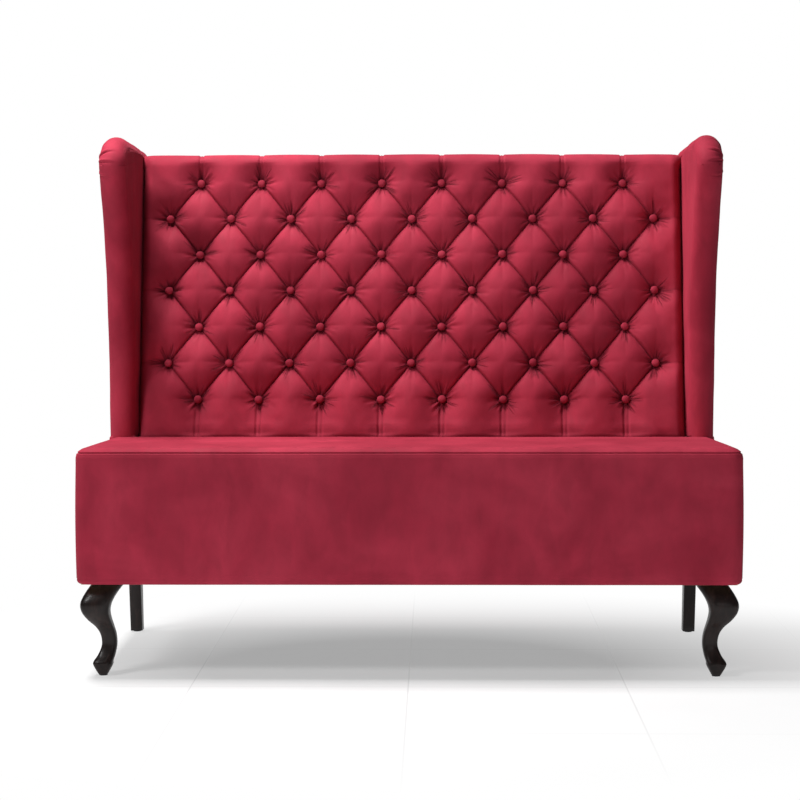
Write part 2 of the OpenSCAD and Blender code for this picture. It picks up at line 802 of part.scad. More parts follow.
// Outline of a wing as seen from its end (Y, Z): up the front, round the corner and along the crest
wing_foot = [foot_y, seat_h];
wing_brow = [top_y, corner_z];
wing_crown = [top_y + wing_corner_d, wing_h];
wing_rise = corner_z - seat_h;
wing_front = [wing_foot, [foot_y - 4, seat_h + 0.745 * wing_rise], [top_y + 8, corner_z - 0.095 * wing_rise], wing_brow];
wing_corner = [
    wing_brow, [top_y - 5, corner_z + 0.55 * wing_corner_h],
    [top_y + 0.4 * wing_corner_d, wing_h + 1], wing_crown
];
wing_rear = [rear_y, crest_rear];
wing_line = concat(
    [for (u = [0, 0.12, 0.25, 0.4, 0.55, 0.7, 0.84, 0.94]) curve(wing_front, u)],
    [for (u = [0:0.2:0.9]) curve(wing_corner, u)],
    [for (u = [0:0.25:1]) wing_crown + u * (wing_rear - wing_crown)]
);
wing_last = len(wing_line) - 1;

// Direction into the wing at each point of its outline
wing_in = [
    for (i = [0:wing_last])
        i == 0 ? [1, 0] : i == wing_last ? [-sin(back_lean), -cos(back_lean)]
        : let (along = unit(wing_line[i + 1] - wing_line[i - 1])) [along[1], -along[0]]
];
function wing_point(i, x, depth) = let (place = wing_line[i] + depth * wing_in[i]) [x, place[0], place[1]];

// Where the cover ends behind each point: at the outside back, and at the tuck beside the buttoned pad
function outer_tail(i, x) =
    let (z = seat_h + (crest_rear - roll_r - 6 - seat_h) * i / wing_last) [x, slope_y(frame_t1, z), z];
function inner_tail(i, x) =
    let (low = wing_line[i] + (roll_r + 1) * wing_in[i], brow = 8)
    let (z = i <= brow ? seat_h + (wing_h - roll_r - 8 - seat_h) * i / brow : low[1])
    let (tuck = slope_y(wing_tail_t, z), rear = slope_y(frame_t1, z))
    [x, i <= brow ? tuck : clamp(low[0], tuck, rear), z];
function wing_arc(i, r) = [for (k = [0:8]) wing_point(i, wing_mid + r * cos(22.5 * k), roll_r - r * sin(22.5 * k))];
function wing_layer(i, depth) = concat(
    [outer_tail(i, half_w - depth)], wing_arc(i, roll_r - depth), [inner_tail(i, half_w - wing_t + depth)]
);

module wing_cover() {
    color(velvet) placed()
        loft([for (i = [0:wing_last]) backwards(concat(wing_layer(i, 0), backwards(wing_layer(i, cover_t))))], fold(22));
}

module wing_edge_roll() {
    color(foam) placed() loft([for (i = [0:wing_last]) backwards(wing_arc(i, roll_r - skin))], fan(9));
}

// Flat layer of a wing, between two places along X
module wing_layer_plate(x0, x1) {
    outline = concat(
        [for (i = [0:wing_last]) wing_line[i] + roll_r * wing_in[i]],
        [[slope_y(frame_t1, seat_h), seat_h]]
    );
    placed() translate([x0, 0, 0]) rotate([90, 0, 90]) linear_extrude(x1 - x0) polygon(outline);
}

module wing_board() {
    color(ply) difference() {
        wing_layer_plate(inner_x, board_x);
        wing_screw_places() screw_hole();
    }
}

module wing_inner_foam() {
    far = back_len + wing_h;
    color(foam) difference() {
        wing_layer_plate(half_w - wing_t + skin, inner_x);
        leaned() span([0, wing_tail_t, -far], [half_w, far, far]);
    }
}

module wing_outer_foam() {
    color(foam) wing_layer_plate(board_x, half_w - skin);
}

module wing_board_right() {
    wing_board();
}

module wing_board_left() {
    mirror([1, 0, 0]) wing_board();
}

module wing_inner_foam_right() {
    wing_inner_foam();
}

module wing_inner_foam_left() {
    mirror([1, 0, 0]) wing_inner_foam();
}

module wing_outer_foam_right() {
    wing_outer_foam();
}

module wing_outer_foam_left() {
    mirror([1, 0, 0]) wing_outer_foam();
}

module wing_edge_roll_right() {
    wing_edge_roll();
}

module wing_edge_roll_left() {
    mirror([1, 0, 0]) wing_edge_roll();
}

module wing_cover_right() {
    wing_cover();
}

module wing_cover_left() {
    mirror([1, 0, 0]) wing_cover();
}

module wing_screws() {
    color(steel) wing_screw_places() screw();
}

module frame_screws() {
    color(steel) corner_screw_places() screw();
}

seat_front_board();
seat_rear_board();
seat_end_board_left();
seat_end_board_right();
seat_webbing_rail();
seat_cross_members();
leg_blocks();
seat_webbing_long();
seat_webbing_cross();
seat_foam();
seat_side_padding();
seat_top_cover();
seat_border_cover();
dust_cover();
front_leg_left();
front_leg_right();
rear_leg_left();
rear_leg_right();
foot_glides();
leg_bolts();
leg_tee_nuts();
back_post_left();
back_post_right();
back_top_rail();
back_bottom_rail();
back_studs();
rail_dowels();
back_panel();
back_foam();
back_tufted_pad();
back_buttons();
button_ties();
outside_back_cover();
back_bolts();
back_bolt_nuts();
wing_board_left();
wing_board_right();
wing_inner_foam_left();
wing_inner_foam_right();
wing_outer_foam_left();
wing_outer_foam_right();
wing_edge_roll_left();
wing_edge_roll_right();
wing_cover_left();
wing_cover_right();
wing_screws();
frame_screws();
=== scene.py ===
"""High-back banquette dressed in red velvet: tufted back, pleated wings, box seat and carved legs.

Metres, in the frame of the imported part: X along the length, Y from front to back, Z up.
"""

import json
import math
import random

import bmesh
import bpy
import numpy as np
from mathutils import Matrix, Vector, noise


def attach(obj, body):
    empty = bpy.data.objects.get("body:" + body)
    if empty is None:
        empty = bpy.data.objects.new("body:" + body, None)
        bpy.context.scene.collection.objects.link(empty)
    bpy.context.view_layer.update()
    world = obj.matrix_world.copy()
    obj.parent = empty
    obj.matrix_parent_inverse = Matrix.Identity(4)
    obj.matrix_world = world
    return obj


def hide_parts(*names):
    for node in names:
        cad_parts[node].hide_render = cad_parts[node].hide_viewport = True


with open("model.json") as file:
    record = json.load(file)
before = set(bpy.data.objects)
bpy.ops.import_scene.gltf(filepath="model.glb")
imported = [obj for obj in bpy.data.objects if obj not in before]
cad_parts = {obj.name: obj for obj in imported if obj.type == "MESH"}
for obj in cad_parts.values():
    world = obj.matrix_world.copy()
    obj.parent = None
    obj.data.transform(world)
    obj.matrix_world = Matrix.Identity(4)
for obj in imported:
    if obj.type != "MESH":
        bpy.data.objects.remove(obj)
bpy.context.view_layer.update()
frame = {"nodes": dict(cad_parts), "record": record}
nodes = frame["nodes"]

# Main sizes of the part
MID_Y = 0.381555
HALF_W = 0.7
SEAT_H = 0.48
SEAT_D = 0.49
SEAT_EDGE_R = 0.024
WELL_Y = 0.487
SEAT_BOX_D = 0.646
LEG_H = 0.2
BACK_LEN = 0.683
BACK_T = 0.127
BACK_LEAN = math.radians(12)
BACK_HALF = 0.6397
EDGE_R = 0.04
SIDE_W = 0.028
SIDE_D = 0.055
CROWN = 0.002
PITCH = 0.1426
ROW = 0.0865
FIRST = 0.088
ROWS = 7
HALF_COUNT = 8
FOLD_DEPTH = 0.0185
BUTTON_DEPTH = 0.032
BUTTON_R = 0.0095
FOLD_LAP = 0.0013
PLEAT_RUN = 0.06
WING_T = 0.06
WING_H = 1.166
TAU = 2 * math.pi
QUARTER = math.radians(90)
SIN_LEAN = math.sin(BACK_LEAN)
COS_LEAN = math.cos(BACK_LEAN)


def placed(x, y, z):
    """Point measured from the seat's front face, in the part's frame."""
    return Vector((x, y - MID_Y, z))


def leaned(x, t, s):
    """Place behind the back's face and up its slope, in the part's frame, also for arrays."""
    return x, SEAT_D + t * COS_LEAN + s * SIN_LEAN - MID_Y, SEAT_H - t * SIN_LEAN + s * COS_LEAN


def clamp(v, low, high):
    return max(low, min(high, v))


def bell(v, width):
    """1 at zero and falling off on both sides, for a number or an array."""
    return np.exp(-((v / width) ** 2))


def blend(a, b, share):
    return a + (b - a) * share


def in_scene(name, data):
    """Object in the scene for a mesh, a lamp or a camera."""
    obj = bpy.data.objects.new(name, data)
    bpy.context.scene.collection.objects.link(obj)
    return obj


def lumps(x, y, z, *waves):
    """Soft noise at a place, summed over pairs of how fine and how high it is."""
    return sum(height * noise.noise(Vector((x * fine, y * fine, z * fine))) for fine, height in waves)


def mesh_object(name, points, faces):
    """Smooth-shaded mesh from points and faces, riding on the root body."""
    mesh = bpy.data.meshes.new(name)
    mesh.from_pydata([tuple(p) for p in points], [], faces)
    mesh.validate()
    work = bmesh.new()
    work.from_mesh(mesh)
    bmesh.ops.recalc_face_normals(work, faces=work.faces)
    work.to_mesh(mesh)
    work.free()
    mesh.polygons.foreach_set("use_smooth", [True] * len(mesh.polygons))
    obj = in_scene(name, mesh)
    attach(obj, "root")
    return obj


CLOTH_FRAMES = 20
CLOTH_CAP = 0.006
CLOTH_SETTINGS = {
    "shrink_min": -0.01,
    "quality": 4,
    "vertex_group_mass": "held",
    "bending_stiffness": 1.5,
    "use_pressure": True,
    "uniform_pressure_force": 4.0,
}


def swollen(points, faces, held):
    """Points of a pad after air and slack cloth have shaped it, each moved by less than the cap."""
    mesh = bpy.data.meshes.new("trial")
    mesh.from_pydata(points.tolist(), [], faces.tolist())
    trial = in_scene("trial", mesh)
    group = trial.vertex_groups.new(name="held")
    group.add(np.where(held)[0].tolist(), 1.0, "REPLACE")
    cloth = trial.modifiers.new("cloth", "CLOTH")
    for key, value in CLOTH_SETTINGS.items():
        setattr(cloth.settings, key, value)
    cloth.settings.effector_weights.gravity = 0.0
    cloth.point_cache.frame_start = 1
    cloth.point_cache.frame_end = CLOTH_FRAMES
    scene = bpy.context.scene
    for step in range(1, CLOTH_FRAMES + 1):
        scene.frame_set(step)
    shaped = trial.evaluated_get(bpy.context.evaluated_depsgraph_get())
    found = np.empty(len(points) * 3)
    shaped.data.vertices.foreach_get("co", found)
    bpy.data.objects.remove(trial)
    bpy.data.meshes.remove(mesh)
    scene.frame_set(1)
    move = found.reshape(-1, 3) - points
    reach = np.linalg.norm(move, axis=1, keepdims=True)
    return points + move * np.tanh(reach / CLOTH_CAP) * CLOTH_CAP / np.maximum(reach, 1e-9)


def grid_faces(rows, columns, closed=False, start=0):
    """Quads of a grid of points, with its rows closed into rings if asked."""
    faces = []
    last = columns if closed else columns - 1
    for j in range(rows - 1):
        for i in range(last):
            k = (i + 1) % columns
            a = start + j * columns
            faces.append((a + i, a + k, a + columns + k, a + columns + i))
    return faces


def grid_object(name, rows):
    """Open mesh through rows of points."""
    points = [point for row in rows for point in row]
    return mesh_object(name, points, grid_faces(len(rows), len(rows[0])))


def ringed_object(name, points, rows, count):
    """Closed mesh through rings of points, with both ends filled."""
    faces = grid_faces(rows, count, closed=True)
    faces.append(tuple(range(count)))
    faces.append(tuple(range((rows - 1) * count, rows * count)))
    return mesh_object(name, points, faces)


# Materials, all from texture nodes in the part's own frame

def new_node(tree, kind, values=(), **settings):
    """Shader node with its settings, and a value or a link on each socket named."""
    node = tree.nodes.new(kind)
    for key, value in settings.items():
        setattr(node, key, value)
    for socket, value in dict(values).items():
        if isinstance(value, bpy.types.NodeSocket):
            tree.links.new(value, node.inputs[socket])
        else:
            node.inputs[socket].default_value = value
    return node


def joined(kind, values, **settings):
    """Node in the same tree as the sources on its sockets."""
    tree = next(value.id_data for value in values.values() if isinstance(value, bpy.types.NodeSocket))
    return new_node(tree, kind, values, **settings)


def start_material(name, **sockets):
    """Material with its even values on its shader's sockets, and the place of each point."""
    made = bpy.data.materials.new(name)
    made.use_nodes = True
    shader = made.node_tree.nodes["Principled BSDF"]
    for socket, value in sockets.items():
        shader.inputs[socket.replace("_", " ")].default_value = value
    return made, new_node(made.node_tree, "ShaderNodeTexCoord").outputs["Object"]


def finished(made, colour, roughness, *bumps):
    """Material with its colour, roughness and bumps, one over the other, on its shader."""
    tree = made.node_tree
    sources = {"Base Color": colour, "Roughness": roughness}
    for source, distance, strength in bumps:
        values = {"Height": source, "Distance": distance, "Strength": strength}
        if "Normal" in sources:
            values["Normal"] = sources["Normal"]
        sources["Normal"] = joined("ShaderNodeBump", values).outputs["Normal"]
    for socket, source in sources.items():
        if source is not None:
            tree.links.new(source, tree.nodes["Principled BSDF"].inputs[socket])
    return made


def stretched(place, scale):
    return joined("ShaderNodeMapping", {"Vector": place, "Scale": scale}).outputs["Vector"]


def noise_at(place, scale, detail=3.0, rough=0.5, warp=0.0):
    values = {"Vector": place, "Scale": scale, "Detail": detail, "Roughness": rough, "Distortion": warp}
    return joined("ShaderNodeTexNoise", values).outputs["Fac"]


def ramp(source, stops):
    """Colours along a source value, from (position, colour) pairs."""
    node = joined("ShaderNodeValToRGB", {"Fac": source})
    band = node.color_ramp
    for stop, (position, colour) in zip(band.elements, (stops[0], stops[-1])):
        stop.position = position
        stop.color = (*colour, 1)
    for position, colour in stops[1:-1]:
        band.elements.new(position).color = (*colour, 1)
    return node.outputs["Color"]


def mixed(share, first, second, blend_type="MIX"):
    """Two colours mixed by a number or by a source."""
    values = {0: share}
    for socket, colour in ((6, first), (7, second)):
        values[socket] = (*colour, 1) if isinstance(colour, tuple) else colour
    return joined("ShaderNodeMix", values, data_type="RGBA", blend_type=blend_type).outputs[2]


def ranged(source, low, high, from_low=0.0, from_high=1.0):
    values = {"Value": source, "From Min": from_low, "From Max": from_high, "To Min": low, "To Max": high}
    return joined("ShaderNodeMapRange", values).outputs["Result"]


def worked(operation, *values):
    """Result of one maths operation on values or sources."""
    return joined("ShaderNodeMath", dict(enumerate(values)), operation=operation).outputs[0]


def vectors(operation, *values):
    """Node of one vector operation on sources."""
    return joined("ShaderNodeVectorMath", dict(enumerate(values)), operation=operation)


def ray_share(tree, *kinds):
    """1 for the kinds of ray named, and 0 for all others."""
    rays = new_node(tree, "ShaderNodeLightPath")
    share = rays.outputs[kinds[0]]
    for kind in kinds[1:]:
        share = worked("MAXIMUM", share, rays.outputs[kind])
    return share


def gathers(tree):
    """Fine lines that fan out from each button, uneven in length and strength."""
    off = new_node(tree, "ShaderNodeAttribute", attribute_name="round_button")
    parts = joined("ShaderNodeSeparateXYZ", {0: off.outputs["Vector"]})
    flat = joined("ShaderNodeCombineXYZ", {"X": parts.outputs["X"], "Y": parts.outputs["Y"]})
    radius = vectors("LENGTH", flat.outputs[0]).outputs["Value"]
    ring = vectors("NORMALIZE", flat.outputs[0])
    number = new_node(tree, "ShaderNodeAttribute", attribute_name="own_button")
    own = joined("ShaderNodeCombineXYZ", {"Z": number.outputs["Fac"]})
    around = vectors("ADD", ring.outputs[0], own.outputs[0]).outputs[0]
    fine = noise_at(around, 7.0, 2.0, 0.6)
    reach = noise_at(around, 2.4, 1.0, 0.5)
    line = worked("ABSOLUTE", worked("SUBTRACT", fine, 0.5))
    line = ranged(line, 1.0, 0.0, 0.0, 0.055)
    length = ranged(reach, 0.008, 0.050, 0.3, 0.7)
    fade = ranged(worked("SUBTRACT", length, radius), 0.0, 1.0, 0.0, 0.016)
    start = ranged(radius, 0.0, 1.0, 0.007, 0.011)
    near = worked("MULTIPLY", start, parts.outputs["Z"])
    return worked("MULTIPLY", worked("MULTIPLY", line, fade), near)


def velvet_material(name, with_folds):
    """Short-pile velvet: brushed patches, a soft sheen, fine pile, and painted shade down in the folds and
    along the gathers.
    """
    made, place = start_material(
        name, Sheen_Weight=0.16, Sheen_Roughness=0.36, Sheen_Tint=(1.0, 0.2, 0.28, 1),
        Specular_IOR_Level=0.1,
    )
    broad = noise_at(place, 5.5, 3.0, 0.55, 0.6)
    patches = ramp(broad, [(0.34, VELVET_DARK), (0.5, VELVET), (0.66, VELVET_LIGHT)])
    brushed = noise_at(stretched(place, (1.0, 1.0, 0.5)), 26.0, 5.0, 0.62, 0.5)
    strokes = ramp(brushed, [(0.32, (0.86, 0.86, 0.86)), (0.68, (1.12, 1.12, 1.12))])
    colour = mixed(1.0, patches, strokes, "MULTIPLY")
    pile = noise_at(place, 1500.0, 2.0, 0.6)
    colour = mixed(0.25, colour, ramp(pile, [(0.3, VELVET_DARK), (0.7, VELVET_LIGHT)]))
    bumps = [(brushed, 0.0009, 0.5)]
    if with_folds:
        # Painted shade: the velvet turns darker down in the folds and hollows of the tufting, by a value
        # stored on the mesh.
        folds = new_node(made.node_tree, "ShaderNodeAttribute", attribute_name="fold")
        share = ranged(folds.outputs["Fac"], 0.0, 0.8)
        colour = mixed(share, colour, VELVET_SHADE)
        lines = gathers(made.node_tree)
        # Painted shade along the gathers round each button; the same lines also dent the pile as bumps.
        colour = mixed(ranged(lines, 0.0, 0.75), colour, VELVET_SHADE)
        bumps.append((ranged(lines, 1.0, 0.0), 0.0024, 0.9))
    return finished(made, colour, ranged(brushed, 0.62, 0.82, 0.3, 0.7), *bumps, (pile, 0.0004, 0.6))


def wood_material(name, dark, mid, light, rough, pores, **sockets):
    """Wood with grain along the part's longest run, fine pores and uneven gloss."""
    made, place = start_material(name, **sockets)
    along = stretched(place, pores)
    grain = noise_at(along, 24.0, 5.0, 0.62, 1.4)
    fine = noise_at(along, 160.0, 3.0, 0.6, 0.2)
    colour = ramp(grain, [(0.28, dark), (0.5, mid), (0.74, light)])
    colour = mixed(0.28, colour, ramp(fine, [(0.35, dark), (0.65, light)]))
    gloss = ranged(fine, rough * 0.8, rough * 1.25, 0.3, 0.7)
    return finished(made, colour, gloss, (grain, 0.0006, 0.35), (fine, 0.0002, 0.5))


def stained_material(name):
    """Dark stained legs: grain that shows through satin lacquer, worn a little paler in patches."""
    made, place = start_material(
        name, Coat_Weight=0.12, Coat_Roughness=0.2, Coat_IOR=1.5, Specular_IOR_Level=0.22
    )
    along = stretched(place, (1.0, 1.0, 0.12))
    grain = noise_at(along, 60.0, 6.0, 0.65, 0.8)
    fine = noise_at(along, 420.0, 3.0, 0.6)
    rubbed = noise_at(place, 14.0, 3.0, 0.5)
    colour = ramp(grain, [(0.3, STAIN_DARK), (0.52, STAIN), (0.75, STAIN_LIGHT)])
    colour = mixed(ranged(rubbed, 0.0, 0.35, 0.5, 0.75), colour, STAIN_LIGHT)
    gloss = ranged(fine, 0.32, 0.5, 0.3, 0.7)
    return finished(made, colour, gloss, (grain, 0.0005, 0.4), (fine, 0.0002, 0.4))


def foam_material(name):
    """Open-cell foam: fine pores with painted shade in them, and a patchy, slightly yellowed tone."""
    made, place = start_material(name, Roughness=0.9, Sheen_Weight=0.15)
    cells = joined("ShaderNodeTexVoronoi", {"Vector": place, "Scale": 600.0})
    tone = noise_at(place, 9.0, 4.0)
    colour = ramp(tone, [(0.3, (0.72, 0.62, 0.36)), (0.7, (0.86, 0.79, 0.56))])
    # Painted shade: each pore's hollow is coloured darker, where the bump also sinks it.
    pores = ramp(cells.outputs["Distance"], [(0.0, (0.8, 0.8, 0.8)), (0.5, (1.0, 1.0, 1.0))])
    colour = mixed(1.0, colour, pores, "MULTIPLY")
    return finished(made, colour, None, (cells.outputs["Distance"], 0.0008, 0.7))


def woven_material(name, dark, light, scale):
    """Plain weave from two crossing waves, with a little fuzz."""
    made, place = start_material(name, Roughness=0.8, Sheen_Weight=0.2)
    values = {"Vector": place, "Scale": scale, "Distortion": 0.4}
    waves = [joined("ShaderNodeTexWave", values, bands_direction=direction).outputs["Fac"]
             for direction in ("X", "Y")]
    fuzz = noise_at(place, 300.0, 3.0)
    colour = mixed(waves[0], dark, light)
    colour = mixed(ranged(waves[1], 0.0, 0.6), colour, dark)
    colour = mixed(ranged(fuzz, 0.0, 0.5, 0.4, 0.8), colour, light)
    return finished(made, colour, None, (waves[0], 0.0004, 0.6), (waves[1], 0.0004, 0.6))


def metal_material(name):
    """Zinc-plated steel with fine scratches and a cloudy tone."""
    made, place = start_material(name, Metallic=1.0)
    cloud = noise_at(place, 70.0, 4.0)
    scratch = noise_at(stretched(place, (1.0, 12.0, 1.0)), 260.0, 2.0)
    colour = ramp(cloud, [(0.3, (0.46, 0.47, 0.48)), (0.7, (0.68, 0.68, 0.66))])
    return finished(made, colour, ranged(scratch, 0.28, 0.5), (scratch, 0.0001, 0.4))


def moulded_material(name):
    """Moulded nylon: dull, with a faint grain and scuffs."""
    made, place = start_material(name, Specular_IOR_Level=0.4)
    grain = noise_at(place, 700.0, 2.0)
    scuffs = noise_at(place, 90.0, 4.0, 0.7)
    colour = ramp(scuffs, [(0.4, (0.02, 0.02, 0.022)), (0.75, (0.07, 0.07, 0.075))])
    return finished(made, colour, ranged(scuffs, 0.45, 0.7), (grain, 0.0003, 0.5))


VELVET = (0.35, 0.025, 0.050)
VELVET_DARK = (0.28, 0.018, 0.038)
VELVET_LIGHT = (0.42, 0.034, 0.064)
# Colour of the painted shade in the folds and along the gathers
VELVET_SHADE = (0.10, 0.003, 0.009)
STAIN = (0.013, 0.007, 0.006)
STAIN_DARK = (0.006, 0.0035, 0.003)
STAIN_LIGHT = (0.032, 0.017, 0.014)

folded_velvet = velvet_material("folded_velvet", True)
looks = {
    "velvet": velvet_material("velvet", False),
    "foam": foam_material("foam"),
    "plywood": wood_material(
        "plywood", (0.34, 0.20, 0.09), (0.50, 0.33, 0.17), (0.62, 0.45, 0.26), 0.6, (0.12, 1.0, 1.0)
    ),
    "timber": wood_material(
        "timber", (0.42, 0.26, 0.11), (0.60, 0.42, 0.21), (0.70, 0.54, 0.31), 0.55, (0.1, 1.0, 1.0)
    ),
    "stained_wood": stained_material("stained_wood"),
    "steel": metal_material("steel"),
    "webbing": woven_material("webbing", (0.012, 0.012, 0.013), (0.05, 0.05, 0.052), 260.0),
    "dust_cloth": woven_material("dust_cloth", (0.010, 0.010, 0.010), (0.028, 0.028, 0.030), 420.0),
    "glide": moulded_material("glide"),
}
slot_of = {row["node"]: row["material_slot"] for row in frame["record"]["subparts"]}
for node_name, obj in nodes.items():
    look = looks[slot_of[node_name]]
    obj.data.materials.clear()
    obj.data.materials.append(look)


def dress(obj, slot, look=None, replaced=()):
    """Gives a piece its material, chosen by its slot unless one is given, and hides the nodes it stands for.
    """
    obj.data.materials.clear()
    obj.data.materials.append(look or looks[slot])
    if replaced:
        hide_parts(*replaced)


# Tufted back: its grid follows the diamonds, so that every fold runs along edges of the mesh

STEPS = 32
SIDE_STEPS = 16
TOP_STEPS = 24
REAR_STEPS = 20
COVER_FOOT = -0.040
HELD_BELOW = -0.006
TUCK_START = 0.006
TUCK_RUN = 0.018
TUCK_IN = 0.024
TOP_SIDE_D = 0.0062
PAD_DEEPEST = 0.0328
HALF_PITCH = PITCH / 2
SIDE_START = BACK_HALF - SIDE_W
EDGE_X = HALF_COUNT * HALF_PITCH
LAST_ROW = FIRST + (ROWS - 1) * ROW
LINE_GAP = 1 / math.hypot(1 / HALF_PITCH, 1 / ROW)


def back_columns():
    """Column places across the face, and how far each has turned round the soft side."""
    count = int(SIDE_START / HALF_PITCH * STEPS)
    face = [i * HALF_PITCH / STEPS for i in range(count + 1)]
    turns = [QUARTER * k / SIDE_STEPS for k in range(1, SIDE_STEPS + 1)]
    side = [SIDE_START + SIDE_W * math.sin(turn) for turn in turns]
    xs = np.array(face + side)
    share = np.array([0.0] * len(face) + [1 - math.cos(turn) for turn in turns])
    return np.concatenate([-xs[:0:-1], xs]), np.concatenate([share[:0:-1], share])


def back_rows():
    """Rows up the face and over the top: place (T, S), direction into the pad, side depth, strength."""
    rows = []
    step = ROW / STEPS
    count = int((BACK_LEN - EDGE_R - COVER_FOOT) / step)
    start = FIRST - math.ceil((FIRST - COVER_FOOT) / step) * step
    for k in range(count + 1):
        s = start + k * step
        tuck = clamp((TUCK_START - s) / TUCK_RUN, 0, 1)
        depth = TUCK_IN * (1 - math.sqrt(max(0.0, 1 - tuck * tuck)))
        rows.append((depth, s, 1.0, 0.0, SIDE_D - 0.01 * tuck, 1 - 0.75 * tuck))
    for k in range(1, TOP_STEPS + 1):
        turn = QUARTER * k / TOP_STEPS
        t = EDGE_R * (1 - math.cos(turn))
        s = BACK_LEN - EDGE_R + EDGE_R * math.sin(turn)
        side = TOP_SIDE_D + (SIDE_D - TOP_SIDE_D) * (1 - k / TOP_STEPS) ** 1.3
        rows.append((t, s, math.cos(turn), -math.sin(turn), side, 1.0))
    for k in range(1, REAR_STEPS + 1):
        t = EDGE_R + (BACK_T - EDGE_R) * k / REAR_STEPS
        rows.append((t, BACK_LEN, 0.0, -1.0, TOP_SIDE_D, 1.0 - 0.6 * k / REAR_STEPS))
    return np.array(rows)


def line_distance(turns):
    """Distance from the nearest fold line, from a count that is even on the lines."""
    return np.abs(turns - 2 * np.round(turns / 2))


def tuft_depth(x, s, over):
    """Depth of the pillows and their folds, and how near each point is to a fold line."""
    a = np.clip(x / HALF_PITCH, -HALF_COUNT, HALF_COUNT)
    b = np.clip((s - FIRST) / ROW, 0, ROWS - 1)
    p = np.abs(np.sin(math.pi / 2 * (a + b + 1)))
    q = np.abs(np.sin(math.pi / 2 * (a - b + 1)))
    past_side = np.maximum(np.abs(x) - EDGE_X, 0)
    past_top = np.maximum(s + over - LAST_ROW, 0)
    past_low = np.maximum(FIRST - s, 0)
    past = np.maximum(np.maximum(past_side, past_top), past_low)
    wide = FOLD_DEPTH * (1 - np.power(p * q, 0.56))
    wide = wide * (1 - 0.94 * np.clip(past_top / 0.05, 0, 1)) * (1 - 0.45 * np.clip(past_low / 0.07, 0, 1))
    wide = wide * (1 - 0.7 * np.clip(past_side / 0.045, 0, 1))
    fall = np.maximum(0, 1 - past / PLEAT_RUN)
    dimple = (BUTTON_DEPTH - FOLD_DEPTH) * np.power(1 - np.maximum(p, q), 1.1) * fall
    rising = a - b + 1 - 2 * np.round((a - b + 1) / 2)
    falling = a + b + 1 - 2 * np.round((a + b + 1) / 2)
    near = np.minimum(np.abs(rising), np.abs(falling)) * LINE_GAP
    lap = np.sign(rising) * bell(rising * LINE_GAP, 0.006)
    lap = lap - np.sign(falling) * bell(falling * LINE_GAP, 0.006)
    wide = wide + FOLD_LAP * lap * fall * (past == 0)
    upright = line_distance(a + 1) * HALF_PITCH
    return wide + dimple, near, upright, past_top, past_low, past_side


def pleat_depth(upright, past_top, past_low):
    """Flat pleats from the end rows: two crisp lines with a narrow strip between them, and the strength of
    the painted shade along those lines.
    """
    top_half = 0.0034
    low_half = 0.0050
    top_run = np.clip(past_top / 0.012, 0, 1)
    low_run = np.clip(past_low / 0.012, 0, 1)
    top = 0.0026 * bell(upright - top_half, 0.0016) + 0.0012 * bell(upright, 0.0036)
    low = 0.0028 * bell(upright - low_half, 0.0017) + 0.0011 * bell(upright, 0.0048)
    lines = bell(upright - top_half, 0.0014) * top_run + bell(upright - low_half, 0.0015) * low_run
    return top * top_run + low * low_run, lines


def button_list():
    """Place of every button across and up the back."""
    found = []
    for row in range(ROWS):
        half = HALF_COUNT - 1 if row % 2 == 0 else HALF_COUNT
        for a in range(-half, half + 1, 2):
            found.append((a * HALF_PITCH, FIRST + row * ROW, row, a))
    return found


def pucker_rays(rng, row, a):
    """Short gathers round a button: direction, length, width and depth of each."""
    rays = []
    groups = [(0, 36, 5), (180, 36, 5), (90, 22, 3), (-90, 26, 4)]
    if row == ROWS - 1:
        groups[2] = (90, 40, 6)
    if row == 0:
        groups[3] = (-90, 34, 5)
    if abs(a) == HALF_COUNT:
        outward = 0 if a > 0 else 180
        groups.append((outward, 44, 5))
    for middle, spread, count in groups:
        for k in range(count):
            turn = middle + spread * ((k + 0.5) / count * 2 - 1) + rng.uniform(-5, 5)
            length = rng.uniform(0.020, 0.046)
            width = rng.uniform(0.0013, 0.0021)
            depth = rng.uniform(0.0014, 0.0034)
            rays.append((math.radians(turn), length, width, depth))
    return rays


def puckers(xs, ss):
    """Depth of the gathers round all buttons, over the grid of columns and rows."""
    rng = random.Random(7)
    total = np.zeros((len(ss), len(xs)))
    for bx, bs, row, a in button_list():
        columns = np.where(np.abs(xs - bx) < 0.05)[0]
        rows = np.where(np.abs(ss - bs) < 0.05)[0]
        rays = pucker_rays(rng, row, a)
        dx, ds = np.meshgrid(xs[columns] - bx, ss[rows] - bs)
        r = np.hypot(dx, ds)
        found = np.zeros_like(r)
        for turn, length, width, depth in rays:
            along = dx * math.cos(turn) + ds * math.sin(turn)
            across = -dx * math.sin(turn) + ds * math.cos(turn)
            spread = width * (1 + 1.2 * np.clip(along / length, 0, 1))
            run = np.clip((along - 0.006) / 0.006, 0, 1) * np.clip((length - along) / (0.75 * length), 0, 1)
            lips = 0.45 * bell(np.abs(across) - 2.1 * spread, spread)
            found += depth * run * (bell(across, spread) - lips)
        total[np.ix_(rows, columns)] += found
    return total


def button_offsets(x, s):
    """Offset of each point from its nearest button, how near it is, and a number of that button's own."""
    best = np.full(x.shape, 1.0)
    found = np.zeros(x.shape + (3,))
    own = np.zeros(x.shape)
    for number, (bx, bs, row, a) in enumerate(button_list()):
        apart = np.hypot(x - bx, s - bs)
        closer = apart < best
        best = np.where(closer, apart, best)
        own = np.where(closer, number * 1.37, own)
        found[..., 0] = np.where(closer, x - bx, found[..., 0])
        found[..., 1] = np.where(closer, s - bs, found[..., 1])
    found[..., 2] = np.clip((0.052 - best) / 0.004, 0, 1)
    return found, own


